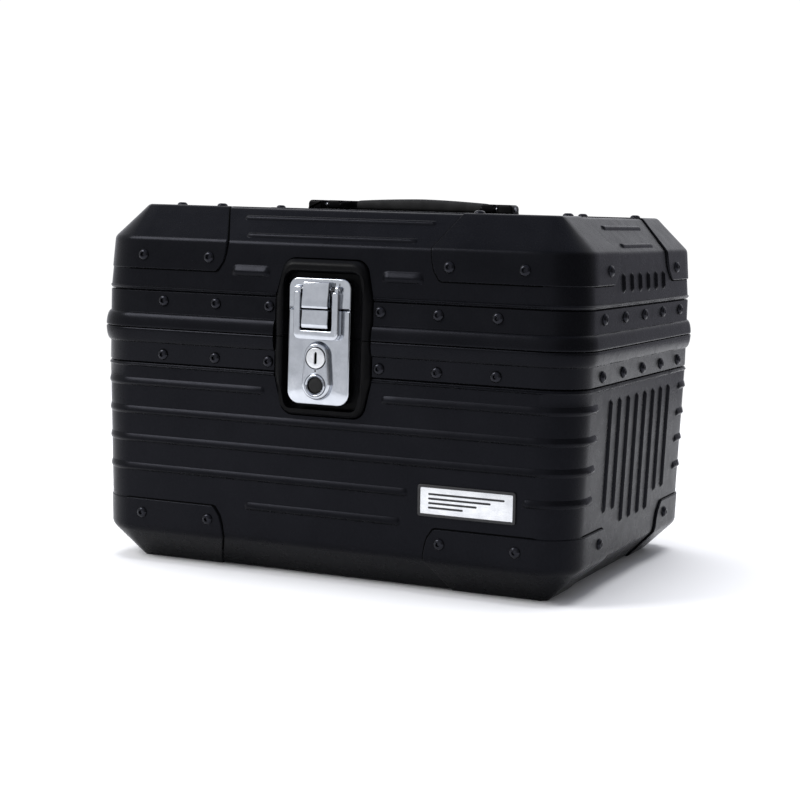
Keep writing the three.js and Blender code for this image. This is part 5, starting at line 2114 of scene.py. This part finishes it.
@dataclass(frozen=True)
class Hinges(Builder):
    """Two rolled-leaf hinges on the back."""

    y: float = 173
    x: float = 120
    half: float = 27
    radius: float = 4

    def leaf(self, x: float, side: int) -> Shape:
        """A hinge leaf with rolled knuckles.

        Args:
            x: the hinge's middle.
            side: -1 for the box's leaf and 1 for the lid's.

        Returns:
            The leaf, with its screws' seats.
        """
        f, back = self.form, self.form.half_depth
        near, far = f.parting + side * 4.6, f.parting + side * 28
        z0, z1 = sorted((near, far))
        corners = [(-x - self.half, z0), (-x + self.half, z0), (-x + self.half, z1), (-x - self.half, z1)]
        rounded = [(u, v, 5 if abs(v - far) < 0.1 else 0.4) for u, v in corners]
        plate = slab(fillet(rounded), 0.05, 2.0, 0.5).moved(Plane.REAR.matrix((0, back, 0)))
        third = self.half / 3
        spans = [(-third + 0.15, third - 0.15)] if side < 0 else [(-self.half, -third - 0.2),
                                                                  (third + 0.2, self.half)]
        centre = (self.y, f.parting)
        for a, b in spans:
            if side > 0:
                outline = [(back, near + 0.4), (back, near - 1.2),
                           *arc_points(centre, self.radius, 200, 450, 12),
                           (back + 2, near + 0.4)]
            else:
                outline = [(back + 2, near - 0.4), *arc_points(centre, self.radius, -90, 160, 12),
                           (back, near + 1.2),
                           (back, near - 0.4)]
            plate.add(slab(outline, x + a, x + b, 0.35, 0.35).moved(Plane.SIDE.matrix((0, 0, 0))))
        return plate

    def screws(self, side: int) -> Shape:
        """The screws of both hinges' leaves on one body.

        Args:
            side: -1 for the box, 1 for the lid.

        Returns:
            The screws.
        """
        made = Shape()
        z = self.form.parting + side * 17.5
        for x in (-self.x, self.x):
            for step in (-17, 0, 17):
                place = Plane.REAR.matrix((x + step, self.form.half_depth + 2, z))
                made.add(button_screw(4.2, 2.2, 2.8).moved(place))
        return made

    def build(self) -> None:
        """Makes the hinges."""
        look, shop = self.look, self.shop
        for hand, sign in both_sides():
            x = sign * self.x
            shop.piece(f"hinge_box_{hand}", self.leaf(x, -1), Body.BOX, Slot.FRAME, look.rim,
                       [f"hinge_leaf_box_{hand}"])
            shop.piece(f"hinge_lid_{hand}", self.leaf(x, 1), Body.LID, Slot.FRAME, look.rim,
                       [f"hinge_leaf_lid_{hand}"])
            pin = turned([(1.6, x - self.half - 1), (2.6, x - self.half - 0.8), (2.6, x - self.half - 0.05),
                          (1.95, x - self.half), (1.95, x + self.half), (2.6, x + self.half + 0.05),
                          (2.6, x + self.half + 0.8), (1.6, x + self.half + 1)], 24)
            pin = pin.moved(Plane.SIDE.matrix((0, self.y, self.form.parting)))
            shop.piece(f"hinge_rod_{hand}", pin, Body.BOX, Slot.STEEL, look.steel, [f"hinge_pin_{hand}"])
        shop.piece("hinge_screws_box", self.screws(-1), Body.BOX, Slot.STEEL, look.screw)
        shop.piece("hinge_screws_lid", self.screws(1), Body.LID, Slot.STEEL, look.screw)


@dataclass(frozen=True)
class Stays(Builder):
    """The slotted lid stays and their shouldered studs."""

    x: float = 198.5
    radius: float = 100
    half_angle: float = math.radians(15)
    lid_open: float = math.radians(80)
    hinge_y: float = 173
    thickness: float = 3
    half: float = 6.5
    hole: float = 2.7

    @property
    def y(self) -> float:
        """How far back both studs lie."""
        return self.hinge_y - self.radius * math.cos(self.half_angle)

    @property
    def rise(self) -> float:
        """How far each stud lies from the parting plane."""
        return self.radius * math.sin(self.half_angle)

    def arm(self, sign: int) -> Shape:
        """A slotted arm with a pressed edge.

        Args:
            sign: -1 for the left and 1 for the right.

        Returns:
            The arm.
        """
        top = self.form.parting + self.rise
        end = top - 2 * self.radius * math.sin(self.half_angle + self.lid_open / 2)
        near = top - 2 * self.rise
        outline = box_loop(self.y - self.half, end - self.half, self.y + self.half, top + self.half,
                           self.half - 0.05)
        slot = box_loop(self.y - self.hole, end - self.hole, self.y + self.hole, near + self.hole,
                        self.hole - 0.05)
        x0, x1 = sign * self.x - self.thickness / 2, sign * self.x + self.thickness / 2
        holes = [slot, circle(self.hole, 24, self.y, top)]
        return slab(outline, x0, x1, 0.5, 0.5, holes).moved(Plane.SIDE.matrix((0, 0, 0)))

    def stud(self, sign: int, z: float) -> Shape:
        """A shouldered stud from the wall through the arm.

        Args:
            sign: -1 for the left and 1 for the right.
            z: its height.

        Returns:
            The stud.
        """
        wall = self.form.half_width - 5.1
        inner, outer = self.x - self.thickness / 2 - 0.3, self.x + self.thickness / 2 + 0.3
        profile = [(5.7, wall), (6.0, wall - 0.4), (6.0, outer + 0.3), (5.7, outer),
                   (2.5, outer), (2.5, inner),
                   (4.7, inner), (5.0, inner - 0.4), (4.8, inner - 1.3), (4.0, inner - 1.9),
                   (1.5, inner - 2.0)]
        place = Plane.SIDE.matrix((0, self.y, z))
        if sign < 0:
            return turned([(r, -d) for r, d in profile], 32).moved(place)
        return turned(profile[::-1], 32).moved(place)

    def build(self) -> None:
        """Makes the stays and studs."""
        look, shop, z = self.look, self.shop, self.form.parting
        for hand, sign in both_sides():
            body = Body.STAY_LEFT if sign < 0 else Body.STAY_RIGHT
            shop.piece(f"lid_stay_{hand}", self.arm(sign), body, Slot.STEEL, look.steel, [f"stay_{hand}"])
            shop.piece(f"stud_box_{hand}", self.stud(sign, z - self.rise), Body.BOX, Slot.ZINC, look.zinc,
                       [f"stay_stud_box_{hand}"])
            shop.piece(f"stud_lid_{hand}", self.stud(sign, z + self.rise), Body.LID, Slot.ZINC, look.zinc,
                       [f"stay_stud_lid_{hand}"])


# -------- base


@dataclass(frozen=True)
class Base(Builder):
    """The plate under the floor, its bolts and the mat inside."""

    bolt: tuple[float, float] = (85, 50)

    def mat(self) -> Shape:
        """A crowned felt mat with soft edges and wells for the bolts.

        Returns:
            The mat.
        """
        f = self.form
        z0, z1 = f.box_floor + f.sheet + 0.3, f.box_floor + f.sheet + 3.2
        wells = [circle(8.5, 28, sx * self.bolt[0], sy * self.bolt[1]) for sx in (-1, 1) for sy in (-1, 1)]
        return slab(box_loop(-178, -129, 178, 129, 6), z0, z1, 1.2, 0, wells)

    def build(self) -> None:
        """Makes the base's pieces."""
        look, shop, f = self.look, self.shop, self.form
        holes = [circle(3.3, 24, sx * self.bolt[0], sy * self.bolt[1]) for sx in (-1, 1) for sy in (-1, 1)]
        holes += [box_loop(-26, -40, 26, 40, 8)]
        plate = slab(box_loop(-110, -75, 110, 75, 12), 0.0, f.box_floor - 0.3, 0.4, 0.6, holes)
        shop.piece("base_mount_plate", plate, Body.BOX, Slot.STEEL, look.steel, ["base_plate"])
        floor = f.box_floor + f.sheet
        for end, sy in both_ends():
            for hand, sx in both_sides():
                place = Matrix.Translation((sx * self.bolt[0], sy * self.bolt[1], floor + 0.3))
                head = button_screw(8, 2.0, 5.0).add(turned([(2.6, -4.1), (3.0, -3.7), (3.0, -0.2)],
                                                            24)).moved(place)
                shop.piece(f"floor_bolt_{end}_{hand}", head, Body.BOX, Slot.ZINC, look.zinc,
                           [f"base_bolt_{end}_{hand}"])
        mat = shop.piece("felt_mat", self.mat(), Body.BOX, Slot.LINING, look.felt, ["floor_mat"], 60)


# -------- scene


@dataclass(frozen=True)
class Studio:
    """The floor, the lights and the camera."""

    form: CaseForm
    eye: Triple = (0.6389, -1.4547, 0.3016)
    target: Triple = (-0.0050, 0.0, 0.1344)
    lens: float = 81.32
    roll: float = math.radians(1.659)

    def camera(self) -> None:
        """Makes the camera."""
        data = bpy.data.cameras.new("camera")
        data.lens, data.sensor_width = self.lens, 36
        data.clip_start, data.clip_end = 0.05, 50
        camera = bpy.data.objects.new("camera", data)
        bpy.context.scene.collection.objects.link(camera)
        back = (Vector(self.eye) - Vector(self.target)).normalized()
        right = Vector((0, 0, 1)).cross(back).normalized()
        up = back.cross(right)
        c, s = math.cos(self.roll), math.sin(self.roll)
        turned_right, turned_up = right * c + up * s, up * c - right * s
        turn = Matrix((turned_right, turned_up, back)).transposed().to_4x4()
        camera.matrix_world = Matrix.Translation(self.eye) @ turn
        bpy.context.scene.camera = camera

    def area(self, name: str, place: Sequence[float], aim: Sequence[float], size: tuple[float, float],
             power: float, shines: bool = True) -> None:
        """Makes a soft box.

        Args:
            name: the light's name.
            place: where it stands.
            aim: the point that it faces.
            size: its width and height.
            power: its strength in watts.
            shines: whether glossy surfaces mirror it.
        """
        data = bpy.data.lights.new(name, "AREA")
        data.shape = "RECTANGLE"
        data.size, data.size_y = size
        data.energy = power
        light = bpy.data.objects.new(name, data)
        bpy.context.scene.collection.objects.link(light)
        light.visible_glossy = shines
        way = Vector(place) - Vector(aim)
        light.matrix_world = Matrix.Translation(place) @ way.to_track_quat("Z", "Y").to_matrix().to_4x4()

    def world(self) -> None:
        """Makes the pale surroundings: white behind, softer above and darker on the right."""
        world = bpy.data.worlds.new("surroundings")
        bpy.context.scene.world = world
        world.use_nodes = True
        tree = world.node_tree
        place = tree.nodes.new("ShaderNodeTexCoord")
        back = self.facing(tree, place, (-0.40, 0.915, 0.0), 0.52, 0.66)
        above = self.facing(tree, place, (0.0, 0.0, 1.0), 0.60, 0.90)
        right = self.facing(tree, place, (0.87, -0.15, 0.0), 0.30, 0.70)
        beside = self.facing(tree, place, (0.45, 0.89, 0.0), 0.86, 0.96)
        tone: Socket | None = None
        base = (0.86, 0.87, 0.90)
        layers = (
            (right, (0.26, 0.26, 0.27)),
            (above, (0.50, 0.53, 0.66)),
            (back, (0.95, 0.96, 1.02)),
            (beside, (0.38, 0.38, 0.44)),
        )
        for share, colour in layers:
            mix = tree.nodes.new("ShaderNodeMix")
            mix.data_type = "RGBA"
            mix.inputs[6].default_value = (*base, 1)
            mix.inputs[7].default_value = (*colour, 1)
            tree.links.new(share, mix.inputs[0])
            if tone is not None:
                tree.links.new(tone, mix.inputs[6])
            tone = mix.outputs[2]
        seen = tree.nodes.new("ShaderNodeMix")
        seen.data_type = "RGBA"
        seen.inputs[7].default_value = (1.05, 1.05, 1.05, 1)
        tree.links.new(tree.nodes.new("ShaderNodeLightPath").outputs["Is Camera Ray"], seen.inputs[0])
        tree.links.new(tone, seen.inputs[6])
        tree.links.new(seen.outputs[2], tree.nodes["Background"].inputs["Color"])

    def facing(self, tree: bpy.types.NodeTree, place: bpy.types.Node, way: Sequence[float],
               start: float, end: float) -> Socket:
        """How far a direction of the surroundings agrees with one way.

        Args:
            tree: the world's nodes.
            place: its coordinate node.
            way: the direction.
            start: the cosine that gives 0.
            end: the cosine that gives 1.

        Returns:
            The socket of the share.
        """
        dot = tree.nodes.new("ShaderNodeVectorMath")
        dot.operation = "DOT_PRODUCT"
        dot.inputs[1].default_value = way
        tree.links.new(place.outputs["Generated"], dot.inputs[0])
        ramp = tree.nodes.new("ShaderNodeMapRange")
        ramp.interpolation_type = "SMOOTHSTEP"
        ramp.inputs[1].default_value = start
        ramp.inputs[2].default_value = end
        tree.links.new(dot.outputs["Value"], ramp.inputs[0])
        return ramp.outputs[0]

    def floor(self) -> None:
        """Makes the pale floor."""
        mesh = bpy.data.meshes.new("floor")
        reach = 1.3
        mesh.from_pydata([(-reach, -reach, 0), (reach, -reach, 0), (reach, reach, 0), (-reach, reach, 0)],
                         [], [(0, 1, 2, 3)])
        sheet = NodeSheet("pale floor")
        sheet.tint(sheet.ramp(sheet.noise(400, 2), 0, 1), (0.86, 0.86, 0.86), (0.90, 0.90, 0.90))
        sheet.shader.inputs["Roughness"].default_value = 0.8
        mesh.materials.append(sheet.material)
        floor = bpy.data.objects.new("floor", mesh)
        bpy.context.scene.collection.objects.link(floor)

    def build(self) -> None:
        """Makes everything round the object."""
        bpy.context.scene.view_settings.view_transform = "Standard"
        self.world()
        self.floor()
        self.area("top", (0.0, 0.3, 2.6), (0, 0, 0.0), (2.4, 1.8), 75, False)
        self.area("front left", (-1.10, -1.15, 1.45), (0, 0, 0.2), (0.8, 0.8), 26)
        self.camera()


def dress_remaining(look: Finishes) -> None:
    """Gives the frame's nodes that stay in view, all of them steel, their material.

    Args:
        look: the case's finishes.
    """
    for name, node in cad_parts.items():
        if node.hide_render:
            continue
        node.data.materials.clear()
        node.data.materials.append(look.steel)
        LOG.info("%s keeps its frame shape", name)


def main() -> None:
    """Builds the top case and its surroundings."""
    logging.basicConfig(level=logging.INFO, format="%(name)s: %(message)s")
    form = CaseForm.from_frame()
    shop = Workshop(Finishes())
    for kind in (Panels, RimFrames, Protectors, Bezel, Lock, NamePlate, Handle, Hinges, Stays, Base):
        before = shop.count
        kind(form, shop).build()
        LOG.info("%s made %d pieces", kind.__name__, shop.count - before)
    dress_remaining(shop.finishes)
    Studio(form).build()


if __name__ == "__main__":
    main()
